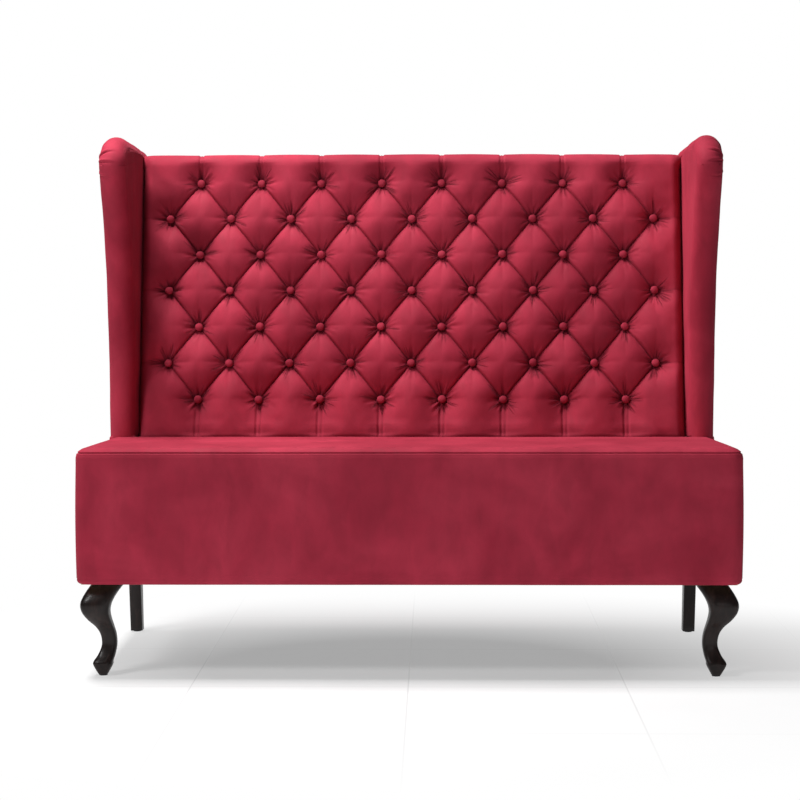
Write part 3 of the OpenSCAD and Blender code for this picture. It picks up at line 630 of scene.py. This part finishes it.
def uneven(xs, ss, scale, seed):
    """Smooth noise over the grid, worked out at every fourth column and drawn through."""
    rough = np.array([[noise.noise(Vector((x * scale, s * scale, seed))) for x in xs[::4]] for s in ss])
    return np.array([np.interp(xs, xs[::4], row) for row in rough])


def widened(values, rows, shape):
    """Values known at some rows and every second column, filled in over the whole grid."""
    columns = np.arange(shape[1])
    across = np.array([np.interp(columns, columns[::2], line) for line in values])
    return np.array([np.interp(np.arange(shape[0]), rows, line) for line in across.T]).T


def cloth_shift(xs, ss, places, held):
    """How air and slack move the tufted cloth, held at its buttons, folds and edges."""
    first = int(np.argmin(np.abs(ss - FIRST))) % 2
    rows = np.arange(first, len(ss), 2)
    held[rows[0], :] = True
    held[rows[-1], :] = True
    part = places[rows][:, ::2]
    points = lean_array(part).reshape(-1, 3)
    faces = diamond_faces(xs[::2], ss[rows])
    moved = swollen(points, faces, held[rows][:, ::2].ravel())
    shift = (moved - points).reshape(part.shape)
    for step in range(3):
        shift[1:-1] = (shift[:-2] + 2 * shift[1:-1] + shift[2:]) / 4
        shift[:, 1:-1] = (shift[:, :-2] + 2 * shift[:, 1:-1] + shift[:, 2:]) / 4
    return np.stack([widened(shift[..., k], rows, places.shape[:2]) for k in range(3)], axis=-1)


def tufted_surface():
    """The tufted face: points, faces, how much painted shade each point gets in its folds, and its place
    round a button.
    """
    xs, share = back_columns()
    rows = back_rows()
    ss = rows[:, 1]
    over = np.maximum(rows[:, 0] - 0.001, 0) * (ss > BACK_LEN - EDGE_R)
    x, s = np.meshgrid(xs, ss)
    depth, near, upright, past_top, past_low, past_side = tuft_depth(x, s, over[:, None])
    inside = (past_top == 0) & (past_low == 0)
    pleats, pleat_line_shade = pleat_depth(upright, past_top, past_low)
    rays = puckers(xs, ss)
    crease = 0.0022 * bell(near, 0.0021) * inside * np.clip(1 - past_side / 0.03, 0, 1)
    soft = 0.0020 * uneven(xs, ss, 13, 3.1) + 0.0005 * uneven(xs, ss, 38, 5.2)
    soft = soft * (1 - 0.7 * np.clip(past_top / 0.05, 0, 1))
    depth = depth + CROWN * (x / BACK_HALF) ** 2

    def sunk(depth):
        """Points of the face at a depth in it, turned round its sides and its top."""
        depth = np.minimum(depth, PAD_DEEPEST) * rows[:, 5][:, None]
        depth = rows[:, 4][:, None] * share[None, :] + depth * (1 - share[None, :])
        t = rows[:, 0][:, None] + depth * rows[:, 2][:, None]
        return np.stack([x, t, rows[:, 1][:, None] + depth * rows[:, 3][:, None]], axis=-1), depth

    held = inside & (near < 0.0004) | ~inside & (upright < 0.0004) | (share[None, :] > 0.3)
    held |= s < HELD_BELOW
    for bx, bs, row, a in button_list():
        held |= (x - bx) ** 2 + (s - bs) ** 2 < 0.011 ** 2
    start = sunk(depth + 0.4 * CLOTH_CAP)[0]
    shift = cloth_shift(xs, ss, start, held) * (1 - np.clip(past_top / 0.05, 0, 1))[..., None]
    places, depth = sunk(depth + pleats + rays + crease + soft + 0.4 * CLOTH_CAP)
    # Painted shade: the velvet darkens in the deep hollows, along the fold and pleat lines, and in the
    # gathers round the buttons; this value is stored on the mesh for the velvet.
    hollow_shade = np.clip((depth - 0.0175) / 0.018, 0, 1) * (1 - share[None, :])
    fold = np.clip(0.8 * hollow_shade ** 1.5 + 0.4 * bell(near, 0.0014) * inside + 0.4 * pleat_line_shade
                   + 60 * np.maximum(rays, 0), 0, 1)
    points = (lean_array(places) + shift).reshape(-1, 3)
    return points, diamond_faces(xs, ss), fold, button_offsets(x, s)


def lean_array(places):
    """The whole array of (X, T, S) places in the part's frame."""
    return np.stack(leaned(places[..., 0], places[..., 1], places[..., 2]), axis=-1)


def diamond_faces(xs, ss):
    """Triangles of the grid, each square split along the nearer fold's direction."""
    x = (xs[:-1] + xs[1:]) / 2
    s = (ss[:-1] + ss[1:]) / 2
    a, b = np.meshgrid(x / HALF_PITCH, np.clip((s - FIRST) / ROW, 0, ROWS - 1))
    falling = line_distance(a + b + 1) < line_distance(a - b + 1)
    rows, columns = len(ss), len(xs)
    corner = np.arange(rows * columns).reshape(rows, columns)
    a0, a1 = corner[:-1, :-1], corner[:-1, 1:]
    b0, b1 = corner[1:, :-1], corner[1:, 1:]
    pairs = (((a0, a1, b0), (a0, a1, b1)), ((a1, b1, b0), (a0, b1, b0)))
    return np.concatenate([
        np.where(falling[..., None], np.stack(one, -1), np.stack(other, -1)).reshape(-1, 3)
        for one, other in pairs
    ])


def array_object(name, points, faces, fold, offsets):
    """Smooth-shaded mesh of triangles, with its painted shade in the folds and its places round the buttons.
    """
    mesh = bpy.data.meshes.new(name)
    mesh.vertices.add(len(points))
    mesh.vertices.foreach_set("co", points.astype(np.float32).ravel())
    mesh.loops.add(faces.size)
    mesh.loops.foreach_set("vertex_index", faces.astype(np.int32).ravel())
    mesh.polygons.add(len(faces))
    mesh.polygons.foreach_set("loop_start", np.arange(0, faces.size, 3, dtype=np.int32))
    mesh.polygons.foreach_set("use_smooth", np.ones(len(faces), dtype=bool))
    mesh.update(calc_edges=True)
    mesh.validate()
    for label, kind, key, values in (
        ("fold", "FLOAT", "value", fold),
        ("round_button", "FLOAT_VECTOR", "vector", offsets[0]),
        ("own_button", "FLOAT", "value", offsets[1]),
    ):
        layer = mesh.attributes.new(label, kind, "POINT")
        layer.data.foreach_set(key, values.astype(np.float32).ravel())
    obj = in_scene(name, mesh)
    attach(obj, "root")
    return obj


tufted_back = array_object("tufted_back", *tufted_surface())
dress(tufted_back, "velvet", folded_velvet, replaced=("back_tufted_pad",))


# Covered buttons: a domed cap gathered over its rim, each a little out of true

CAP_POINTS = 24
CAP_H = 0.0052
BUTTON_SUNK = 0.0215
TOP_ROW_SUNK = 0.0022


def cap_points(radius, height, wave, phase):
    rings = [(0.0, height), (0.35, height * 0.95), (0.62, height * 0.8), (0.82, height * 0.52),
             (0.95, height * 0.16), (1.0, -height * 0.25), (0.9, -height * 0.75)]
    points = []
    for share, lift in rings[1:]:
        for k in range(CAP_POINTS):
            turn = TAU * k / CAP_POINTS
            gather = 1 + wave * share ** 3 * math.sin(9 * turn + phase)
            r = radius * share * gather
            points.append((r * math.cos(turn), r * math.sin(turn), lift))
    return [(0.0, 0.0, height)] + points, len(rings) - 1


def covered_buttons():
    rng = random.Random(11)
    points = []
    faces = []
    for bx, bs, row, a in button_list():
        cap, rings = cap_points(BUTTON_R, CAP_H, 0.02, rng.uniform(0, TAU))
        tip_x = rng.uniform(-0.12, 0.12)
        tip_s = rng.uniform(-0.12, 0.12)
        sunk = BUTTON_SUNK + rng.uniform(-0.0008, 0.0016) + (TOP_ROW_SUNK if row == ROWS - 1 else 0.0)
        at_x = bx + rng.uniform(-0.0007, 0.0007)
        at_s = bs + rng.uniform(-0.0007, 0.0007)
        start = len(points)
        for px, ps, lift in cap:
            t = sunk - lift - px * tip_x - ps * tip_s + CROWN * (bx / BACK_HALF) ** 2
            points.append(leaned(at_x + px, t, at_s + ps))
        for k in range(CAP_POINTS):
            faces.append((start, start + 1 + k, start + 1 + (k + 1) % CAP_POINTS))
        faces += grid_faces(rings, CAP_POINTS, closed=True, start=start + 1)
    return mesh_object("covered_buttons", points, faces)


dress(covered_buttons(), "velvet", replaced=("back_buttons",))


# Wings: rows follow the outline from the foot, round the corner and along the crest

WING_ROLL = WING_T / 2
WING_MID = HALF_W - WING_ROLL
CREST_FALL = 0.010
WING_FOOT = (0.476, SEAT_H - 0.0025)
WING_BROW = (0.340, WING_H - 0.072)
WING_CROWN = (WING_BROW[0] + 0.110, WING_H)
FRAME_T = 0.1237
TUCK_T = 0.0603
# Each pleat of a wing: how far below the top, how strong, and how far it tilts
WING_PLEATS = ((0.0108, 0.5, -0.002), (0.0379, 1.0, 0.001), (0.0610, 0.85, -0.004), (0.0985, 0.75, 0.003))
WING_OUT_SWELL = 0.0022
WING_IN_SWELL = 0.0030
WING_HEART = 0.06
FRONT_ROWS = 160
CORNER_ROWS = 76
CREST_ROWS = 50
WING_STEPS = 16
ROLL_STEPS = 32
CREST_TUCK_Z = WING_H - WING_ROLL - 0.008


def slope_y(t, z):
    return SEAT_D + t / COS_LEAN + (z - SEAT_H) * math.tan(BACK_LEAN)


def bezier(p, u):
    v = 1 - u
    shares = (v ** 3, 3 * u * v * v, 3 * u * u * v, u ** 3)
    return tuple(sum(share * point[k] for share, point in zip(shares, p)) for k in (0, 1))


def wing_outline():
    """Places (Y, Z) along the wing's edge, from the foot to the rear of the crest."""
    rise = WING_BROW[1] - SEAT_H
    front = [WING_FOOT, (WING_FOOT[0] - 0.004, SEAT_H + 0.745 * rise),
             (WING_BROW[0] + 0.008, WING_BROW[1] - 0.095 * rise), WING_BROW]
    corner = [WING_BROW, (WING_BROW[0] - 0.005, WING_BROW[1] + 0.0396),
              (WING_BROW[0] + 0.044, WING_H + 0.001), WING_CROWN]
    rear_z = WING_H - CREST_FALL
    rear = (slope_y(FRAME_T, rear_z), rear_z)
    line = [bezier(front, 1 - (1 - k / FRONT_ROWS) ** 1.5) for k in range(FRONT_ROWS)]
    line += [bezier(corner, k / CORNER_ROWS) for k in range(CORNER_ROWS)]
    for k in range(CREST_ROWS + 1):
        line.append(tuple(blend(WING_CROWN[m], rear[m], k / CREST_ROWS) for m in (0, 1)))
    return line


def foot_reach(x, y):
    """How far the wing's foot reaches down, over the seat's rounded end and into the joint at its rear."""
    over = clamp((x - HALF_W + SEAT_EDGE_R) / SEAT_EDGE_R, 0, 1)
    before = clamp((WELL_Y + 0.004 - y) / 0.006, 0, 1)
    end = SEAT_EDGE_R * (1 - math.sqrt(1 - over * over)) * before
    return max(end, SEAT_EDGE_R * clamp(1.5 - 1.5 * abs(y - WELL_Y + 0.002) / 0.006, 0, 1))


def wing_points(side):
    """Grid of one wing's cover: outer face, half-round edge and inner face, row by row."""
    line = wing_outline()
    last = len(line) - 1
    runs = [0.0]
    for before, after in zip(line, line[1:]):
        runs.append(runs[-1] + math.dist(before, after))
    pleats = []
    for drop, depth, tilt in WING_PLEATS:
        near = min((abs(line[i][1] - (WING_H - drop)), i) for i in range(60, FRONT_ROWS + CORNER_ROWS))[1]
        pleats.append((runs[near], depth, tilt))
    rows = []
    for i, (y, z) in enumerate(line):
        before = line[max(i - 1, 0)]
        after = line[min(i + 1, last)]
        along = Vector((after[0] - before[0], after[1] - before[1])).normalized()
        into = Vector((along[1], -along[0]))
        if i == 0:
            into = Vector((1.0, 0.0))
        outer_z = SEAT_H + (WING_H - CREST_FALL - WING_ROLL - 0.006 - SEAT_H) * runs[i] / runs[last]
        outer_tail = Vector((slope_y(FRAME_T, outer_z), outer_z))
        low = Vector((y, z)) + (WING_ROLL + 0.001) * into
        if i <= FRONT_ROWS:
            tail_z = blend(SEAT_H, CREST_TUCK_Z, runs[i] / runs[FRONT_ROWS])
            inner_tail = Vector((slope_y(TUCK_T, tail_z), tail_z))
        else:
            tail_z = max(low[1], CREST_TUCK_Z) if i <= FRONT_ROWS + CORNER_ROWS else low[1]
            inner_tail = Vector((clamp(low[0], slope_y(TUCK_T, tail_z), slope_y(FRAME_T, tail_z)), tail_z))
        row = []
        edge = Vector((y, z)) + WING_ROLL * into
        for k in range(WING_STEPS):
            share = k / WING_STEPS
            place = outer_tail.lerp(edge, share)
            swell = WING_OUT_SWELL * math.sin(math.pi * share) ** 0.8
            row.append((HALF_W + swell, place, clamp((share - 0.82) / 0.3, 0, 1), 0.0))
        for k in range(ROLL_STEPS + 1):
            turn = math.pi * k / ROLL_STEPS
            place = Vector((y, z)) + (WING_ROLL - WING_ROLL * math.sin(turn)) * into
            weight = clamp((0.62 - k / ROLL_STEPS) / 0.3, 0, 1) * clamp(0.6 + k / 10, 0, 1)
            row.append((WING_MID + WING_ROLL * math.cos(turn), place, weight, turn))
        for k in range(1, WING_STEPS + 1):
            share = k / WING_STEPS
            place = edge.lerp(inner_tail, share)
            swell = WING_IN_SWELL * math.sin(math.pi * share) ** 0.8
            row.append((HALF_W - WING_T - swell, place, 0.0, math.pi))
        centre = Vector((WING_MID, y + WING_HEART * into[0], z + WING_HEART * into[1]))
        points = []
        for x, place, weight, turn in row:
            dent = 0.0
            for run, depth, tilt in pleats:
                off = runs[i] - run - tilt * (turn - 0.8)
                lip = 0.0021 * bell(off - 0.0055, 0.0042) * (0.5 if off < 0 else 1)
                dent += depth * (0.0030 * bell(off, 0.0021) - lip)
            soft = lumps(x * side, *place, (9, 0.0018), (24, 0.0005))
            inward = Vector((centre[0] - x, centre[1] - place[0], centre[2] - place[1])).normalized()
            shift = dent * weight - soft
            reach = foot_reach(x, place[0]) if i == 0 else 0.0
            points.append(placed(side * (x + inward[0] * shift), place[0] + inward[1] * shift,
                                 place[1] + inward[2] * shift - reach))
        rows.append(points)
    return rows


for side, word in ((1, "right"), (-1, "left")):
    wing = grid_object(f"wing_{word}", wing_points(side))
    dress(wing, "velvet", replaced=(f"wing_cover_{word}",))


# Seat: crowned top with its boxing seam, and a padded border down to the underside

SEAT_CORNER_R = 0.024
SEAT_REAR_R = 0.002
SEAT_CROWN = 0.003
SEAT_RISE = 0.012
SPLIT_Z = 0.451
SEAM_TURN = 33.0
SEAT_WAVE = 0.0013
RISER_R = 0.007
FLANGE_END = 0.058
FLANGE_REAR = 0.034


def plan_ring(x_half, y0, y1, front_r, rear_r, z, corner_steps=10, long_steps=150, short_steps=46):
    """Rounded rectangle with many points along its sides, anticlockwise from the right rear corner."""
    points = []
    corners = ((1, y1, -1, rear_r), (-1, y1, -1, rear_r), (-1, y0, 1, front_r), (1, y0, 1, front_r))
    arcs = []
    for c, (side, side_y, inward, r) in enumerate(corners):
        turns = [QUARTER * (c + k / corner_steps) for k in range(corner_steps + 1)]
        arcs.append([(side * (x_half - r) + r * math.cos(turn), side_y + inward * r + r * math.sin(turn), z)
                     for turn in turns])
    for c, arc in enumerate(arcs):
        points += arc
        begin, goal = arc[-1], arcs[(c + 1) % 4][0]
        steps = long_steps if c % 2 == 0 else short_steps
        for k in range(1, steps):
            points.append((blend(begin[0], goal[0], k / steps), blend(begin[1], goal[1], k / steps), z))
    return points


def seat_ring(inset, z):
    rear = inset - 0.75 * min(inset, SEAT_EDGE_R)
    rear_r = max(SEAT_REAR_R - rear, 0.001)
    ring = plan_ring(HALF_W - inset, inset, WELL_Y - rear, max(SEAT_CORNER_R - inset, 0.003), rear_r, z)
    share = clamp((z - SPLIT_Z) / 0.002, 0, 1)
    return [(x, y, z + share * SEAT_RISE * (1 - y / WELL_Y)) for x, y, z in ring]


def ring_mesh(name, rings, wave, close_top=False):
    """Skin through rings of equal count, gently uneven, with its last ring closed if asked."""
    count = len(rings[0])
    points = []
    for ring in rings:
        for x, y, z in ring:
            shift = lumps(x, y, z, (7, wave), (22, 0.3 * wave))
            out_y = -1 if y < 0.1 else (1 if y > 0.4 else 0)
            points.append(placed(x, y + out_y * shift, z + shift * 0.4))
    faces = grid_faces(len(rings), count, closed=True)
    if close_top:
        faces.append(tuple(range((len(rings) - 1) * count, len(rings) * count)))
    return mesh_object(name, points, faces)


def seat_top_rings():
    low = SEAT_H - SEAT_CROWN - SEAT_EDGE_R
    rings = [seat_ring(0.0, SPLIT_Z), seat_ring(0.0, SPLIT_Z + 0.0010), seat_ring(0.0, low)]
    for k in range(1, 41):
        turn = QUARTER * k / 40
        degrees = math.degrees(turn) - SEAM_TURN
        seam = 0.0022 * bell(degrees, 2.6)
        seam = seam - 0.0008 * bell(degrees - 7.5, 4.5) - 0.0006 * bell(degrees + 7.5, 4.5)
        r = SEAT_EDGE_R - seam
        inset = SEAT_EDGE_R - r * math.cos(turn)
        rings.append(seat_ring(inset, low + r * math.sin(turn)))
    most = (WELL_Y + 0.75 * SEAT_EDGE_R - 0.008) / 2
    for k in range(1, 31):
        u = (k / 30) ** 1.2
        rings.append(seat_ring(blend(SEAT_EDGE_R, most, u), SEAT_H - SEAT_CROWN * (1 - u) ** 2))
    return rings


seat_top = ring_mesh("seat_top", seat_top_rings(), SEAT_WAVE, close_top=True)
dress(seat_top, "velvet", replaced=("seat_top_cover",))


def border_rings():
    rings = []
    heights = [(LEG_H, 0.012), (LEG_H + 0.0006, 0.0072), (LEG_H + 0.0022, 0.0042), (LEG_H + 0.0052, 0.0016),
               (LEG_H + 0.0090, 0.0003), (LEG_H + 0.0115, 0.0009), (LEG_H + 0.0135, 0.0)]
    for k in range(1, 27):
        heights.append((blend(LEG_H + 0.0135, SPLIT_Z, k / 26), 0.0))
    for z, inset in heights:
        swell = 0.0016 * math.sin(math.pi * clamp((z - LEG_H) / (SPLIT_Z - LEG_H), 0, 1))
        inset = inset - swell
        r = SEAT_CORNER_R - inset * 0.5
        rings.append(plan_ring(HALF_W - inset, inset, SEAT_BOX_D - inset, r, r, z))
    return rings


def riser_points():
    """Strip that carries the wings: round the ends and the rear behind the seat, with its flange on top."""
    half = [(HALF_W, blend(WELL_Y, SEAT_BOX_D - SEAT_CORNER_R, k / 24), 1.0, 0.0) for k in range(25)]
    for k in range(1, 11):
        turn = QUARTER * k / 10
        nx, ny = math.cos(turn), math.sin(turn)
        half.append((HALF_W - SEAT_CORNER_R + SEAT_CORNER_R * nx,
                     SEAT_BOX_D - SEAT_CORNER_R + SEAT_CORNER_R * ny, nx, ny))
    rear = [(blend(HALF_W - SEAT_CORNER_R, SEAT_CORNER_R - HALF_W, k / 60), SEAT_BOX_D, 0.0, 1.0)
            for k in range(1, 60)]
    path = half + rear + [(-x, y, -nx, ny) for x, y, nx, ny in reversed(half)]
    section = [(0.0, SPLIT_Z), (0.0, SPLIT_Z + 0.012)]
    section += [(RISER_R - RISER_R * math.cos(math.radians(15 * k)),
                 SEAT_H - RISER_R + RISER_R * math.sin(math.radians(15 * k))) for k in range(7)]
    section += [(0.014, SEAT_H), (0.022, SEAT_H)]
    rows = []
    for x, y, nx, ny in path:
        flange = (FLANGE_END if abs(nx) > 0.7 else FLANGE_REAR, SEAT_H)
        rows.append([placed(x - nx * inset, y - ny * inset, z) for inset, z in section + [flange]])
    ends = [[placed(side * (HALF_W - FLANGE_END), WELL_Y + 0.0002, z) for inset, z in section + [flange]]
            for side in (1, -1)]
    return [ends[0]] + rows + [ends[1]]


border = ring_mesh("seat_border", border_rings(), SEAT_WAVE)
dress(border, "velvet", replaced=("seat_border_cover",))
dress(grid_object("seat_riser", riser_points()), "velvet")


# Outside back: one cloth stretched over the rear of the frame, with ears behind the wings

def outside_back():
    low_s = (BACK_T * SIN_LEAN + 0.001) / COS_LEAN
    ear_s = (WING_H - CREST_FALL - SEAT_H + BACK_T * SIN_LEAN) / COS_LEAN - 0.002
    wide = HALF_W - 0.001
    side = HALF_W - WING_T
    ear_r = (wide - side) / 2
    turns = [math.radians(180) * k / 16 for k in range(16, -1, -1)]
    ear_xs = [side + ear_r + ear_r * math.cos(turn) for turn in turns]
    xs = [-x for x in reversed(ear_xs)] + [blend(-side, side, k / 120) for k in range(1, 120)] + ear_xs
    points = []
    for x in xs:
        top = BACK_LEN
        if abs(x) > side + 0.0001:
            top = ear_s - ear_r + math.sqrt(max(0.0, ear_r ** 2 - (abs(x) - side - ear_r) ** 2))
        for k in range(81):
            s = blend(low_s, top, k / 80)
            edge = min(k / 6, (80 - k) / 6, (wide - abs(x)) / 0.012, 1.0)
            turned = 0.0026 * (1 - math.sqrt(max(0.0, 1 - (1 - edge) ** 2)))
            soft = 0.0012 * noise.noise(Vector((x * 6, s * 6, 8.0)))
            slack = 0.0016 * math.sin(math.pi * k / 80) * max(0.0, 1 - (x / wide) ** 4)
            points.append(leaned(x, BACK_T - 0.0004 - turned + soft * edge + slack * edge, s))
    return mesh_object("outside_back", points, grid_faces(len(xs), 81))


back_cloth = outside_back()
dress(back_cloth, "velvet", replaced=("outside_back_cover",))


# Cloth under the seat, stapled to the boards and sagging a little between them

def under_cloth():
    margin = 0.0153
    x_half = HALF_W - margin
    corner_x = x_half - 0.088
    front_y = 0.118
    rear_y = 0.566
    xs = [blend(-x_half, x_half, k / 96) for k in range(97)]
    ys = [blend(margin, SEAT_BOX_D - margin, k / 48) for k in range(49)]
    keep = {}
    points = []
    faces = []
    for i, x in enumerate(xs):
        for j, y in enumerate(ys):
            if abs(x) > corner_x and (y < front_y or y > rear_y):
                continue
            fall = math.sin(math.pi * i / 96) * math.sin(math.pi * j / 48)
            crease = 0.0008 * noise.noise(Vector((x * 10, y * 10, 2.0)))
            keep[(i, j)] = len(points)
            points.append(placed(x, y, LEG_H - 0.0006 - 0.004 * fall ** 0.6 + crease * fall))
    for i in range(96):
        for j in range(48):
            corners = [(i, j), (i + 1, j), (i + 1, j + 1), (i, j + 1)]
            if all(corner in keep for corner in corners):
                faces.append(tuple(keep[corner] for corner in corners))
    return mesh_object("under_cloth", points, faces)


dust = under_cloth()
dress(dust, "dust_cloth", replaced=("dust_cover",))


# Legs: S-shaped in front, plain and raked at the rear

# Down from the top: share of the height, inset and width in millimetres
LEG_STATIONS = [
    (0.015, 39, 20), (0.11, 29, 40), (0.15, 29, 41), (0.22, 38, 36), (0.32, 45, 32), (0.43, 43, 33),
    (0.52, 34, 38), (0.61, 18, 50), (0.70, 7, 59), (0.79, 5, 65), (0.89, 14, 67), (1.0, 29, 69),
]
LEG_ROUNDNESS = 0.56
LEG_POINTS = 48
FRONT_LEG_BACK = 0.010
REAR_LEG_IN = 0.027
REAR_LEG_W = 0.028
REAR_LEG_Y = 0.072
REAR_LEG_D = 0.048
REAR_FOOT_D = 0.032
REAR_RAKE = 0.038
GLIDE_H = 0.003


def between(a, b, c, d, u):
    return b + u * ((c - a) + u * ((2 * a - 5 * b + 4 * c - d) + u * (3 * b - a - 3 * c + d))) / 2


def leg_row(i, u):
    rows = [LEG_STATIONS[clamp(i + k, 0, len(LEG_STATIONS) - 1)] for k in (-1, 0, 1, 2)]
    return tuple(between(*(row[m] for row in rows), u) for m in range(3))


def front_leg(name, side):
    """Carved leg: rounded-square sections with a soft ridge down the outer corner."""
    rows = [leg_row(i, k / 9) for i in range(len(LEG_STATIONS) - 1) for k in range(9)] + [LEG_STATIONS[-1]]
    rows = [rows[0]] + rows
    points = []
    for n, (height, inset, width) in enumerate(rows):
        w = width / 1000 * (0.9 if n == 0 else 1.0)
        cx = HALF_W - inset / 1000 - width / 2000
        cy = inset / 1000 + FRONT_LEG_BACK + width / 2000
        z = height * LEG_H - (0.0004 if n == 0 else 0.0)
        for k in range(LEG_POINTS):
            turn = TAU * k / LEG_POINTS
            c, s = math.cos(turn), math.sin(turn)
            x = math.copysign(abs(c) ** LEG_ROUNDNESS, c) * w / 2
            y = math.copysign(abs(s) ** LEG_ROUNDNESS, s) * w / 2
            ridge = 1 + 0.035 * bell(math.degrees(turn) - 315, 16)
            points.append(placed(side * (cx + x * ridge), cy + y * ridge, z))
    return ringed_object(name, points, len(rows), LEG_POINTS)


def rear_leg(name, side):
    """Raked square leg with eased edges."""
    x1 = HALF_W - REAR_LEG_IN
    points = []
    rows = 14
    ease = 0.003
    corners = ((1, 1), (0, 1), (0, 0), (1, 0))
    for n in range(rows + 1):
        share = n / rows
        z = blend(GLIDE_H, LEG_H, share)
        front = SEAT_BOX_D - REAR_LEG_Y + REAR_RAKE * (1 - share)
        depth = blend(REAR_FOOT_D, REAR_LEG_D, share)
        for c, (px, py) in enumerate(corners):
            cx = x1 - (REAR_LEG_W - ease if px == 0 else ease)
            cy = front + (ease if py == 0 else depth - ease)
            for k in range(5):
                turn = QUARTER * (c + k / 4)
                points.append(placed(side * (cx + ease * math.cos(turn)), cy + ease * math.sin(turn), z))
    return ringed_object(name, points, rows + 1, 20)


for side, word in ((1, "right"), (-1, "left")):
    dress(front_leg(f"carved_leg_{word}", side), "stained_wood", replaced=(f"front_leg_{word}",))
    dress(rear_leg(f"raked_leg_{word}", side), "stained_wood", replaced=(f"rear_leg_{word}",))


# Floor, light and camera

def floor_piece():
    """Pale tiled floor, which turns to plain white away from the seat for the camera and for reflections."""
    size = 14.0
    steps = 20
    points = [Vector((blend(-size, size, i / steps), blend(-size * 0.5, size, j / steps), -0.0004))
              for i in range(steps + 1) for j in range(steps + 1)]
    mesh = bpy.data.meshes.new("floor")
    mesh.from_pydata([tuple(p) for p in points], [], grid_faces(steps + 1, steps + 1))
    obj = in_scene("floor", mesh)
    made, place = start_material("floor", Specular_IOR_Level=0.25)
    tone = noise_at(place, 2.5, 3.0)
    colour = ramp(tone, [(0.3, (0.86, 0.86, 0.86)), (0.7, (0.90, 0.90, 0.90))])
    tiles = joined("ShaderNodeTexBrick", {
        "Vector": place, "Scale": 1.0, "Brick Width": 0.45, "Row Height": 0.45,
        "Mortar Size": 0.002, "Mortar Smooth": 0.5, "Mortar": (0.72, 0.72, 0.72, 1),
        "Color1": (1, 1, 1, 1), "Color2": (1, 1, 1, 1),
    }, offset=0.0)
    tiled = mixed(1.0, colour, tiles.outputs["Color"], "MULTIPLY")
    finished(made, tiled, ranged(tone, 0.55, 0.7))
    values = {"Vector": place, "Scale": (0.8, 1.0, 1.0), "Location": (0.0, 0.22, 0.0)}
    centred = joined("ShaderNodeMapping", values)
    apart = vectors("LENGTH", centred.outputs["Vector"]).outputs["Value"]
    tree = made.node_tree
    direct = ray_share(tree, "Is Camera Ray", "Is Glossy Ray", "Is Transmission Ray")
    share = worked("MULTIPLY", ranged(apart, 0.36, 1.0, 0.35, 1.15), direct)
    white = new_node(tree, "ShaderNodeEmission", {"Color": (1.0, 1.0, 1.0, 1), "Strength": 1.0})
    shader = tree.nodes["Principled BSDF"]
    both = joined("ShaderNodeMixShader", {0: share, 1: shader.outputs[0], 2: white.outputs[0]})
    tree.links.new(both.outputs[0], tree.nodes["Material Output"].inputs["Surface"])
    mesh.materials.append(made)


floor_piece()


def area_light(name, place, aim, size, power):
    lamp = bpy.data.lights.new(name, "AREA")
    lamp.shape = "RECTANGLE"
    lamp.size, lamp.size_y = size
    lamp.energy = power
    obj = in_scene(name, lamp)
    obj.location = place
    direction = Vector(aim) - Vector(place)
    obj.rotation_euler = direction.to_track_quat("-Z", "Y").to_euler()


area_light("key", (-2.5, -2.3, 2.9), (0.0, 0.0, 0.6), (0.8, 0.8), 54)
area_light("fill", (0.9, -4.3, 1.3), (0.2, 0.0, 0.7), (1.6, 1.2), 9)
area_light("top", (-1.1, -0.03, 3.7), (-0.1, -0.1, 0.5), (1.3, 0.7), 172)

world = bpy.data.worlds.new("studio")
world.use_nodes = True
bpy.context.scene.world = world
tree = world.node_tree
sky = tree.nodes["Background"]
sky.inputs["Color"].default_value = (0.10, 0.10, 0.104, 1)
white = new_node(tree, "ShaderNodeBackground", {"Color": (1.0, 1.0, 1.0, 1)})
direct = ray_share(tree, "Is Camera Ray", "Is Transmission Ray")
both = joined("ShaderNodeMixShader", {0: direct, 1: sky.outputs[0], 2: white.outputs[0]})
tree.links.new(both.outputs[0], tree.nodes["World Output"].inputs["Surface"])

camera = bpy.data.cameras.new("camera")
camera.lens = 95.25
camera.sensor_width = 36.0
camera.clip_end = 60.0
eye = in_scene("camera", camera)
eye.location = placed(0.0593, -4.4, 0.8351)
eye.rotation_euler = (math.radians(90 - 3.197), math.radians(0.085), math.radians(0.991))
bpy.context.scene.camera = eye
bpy.context.scene.view_settings.view_transform = "Standard"
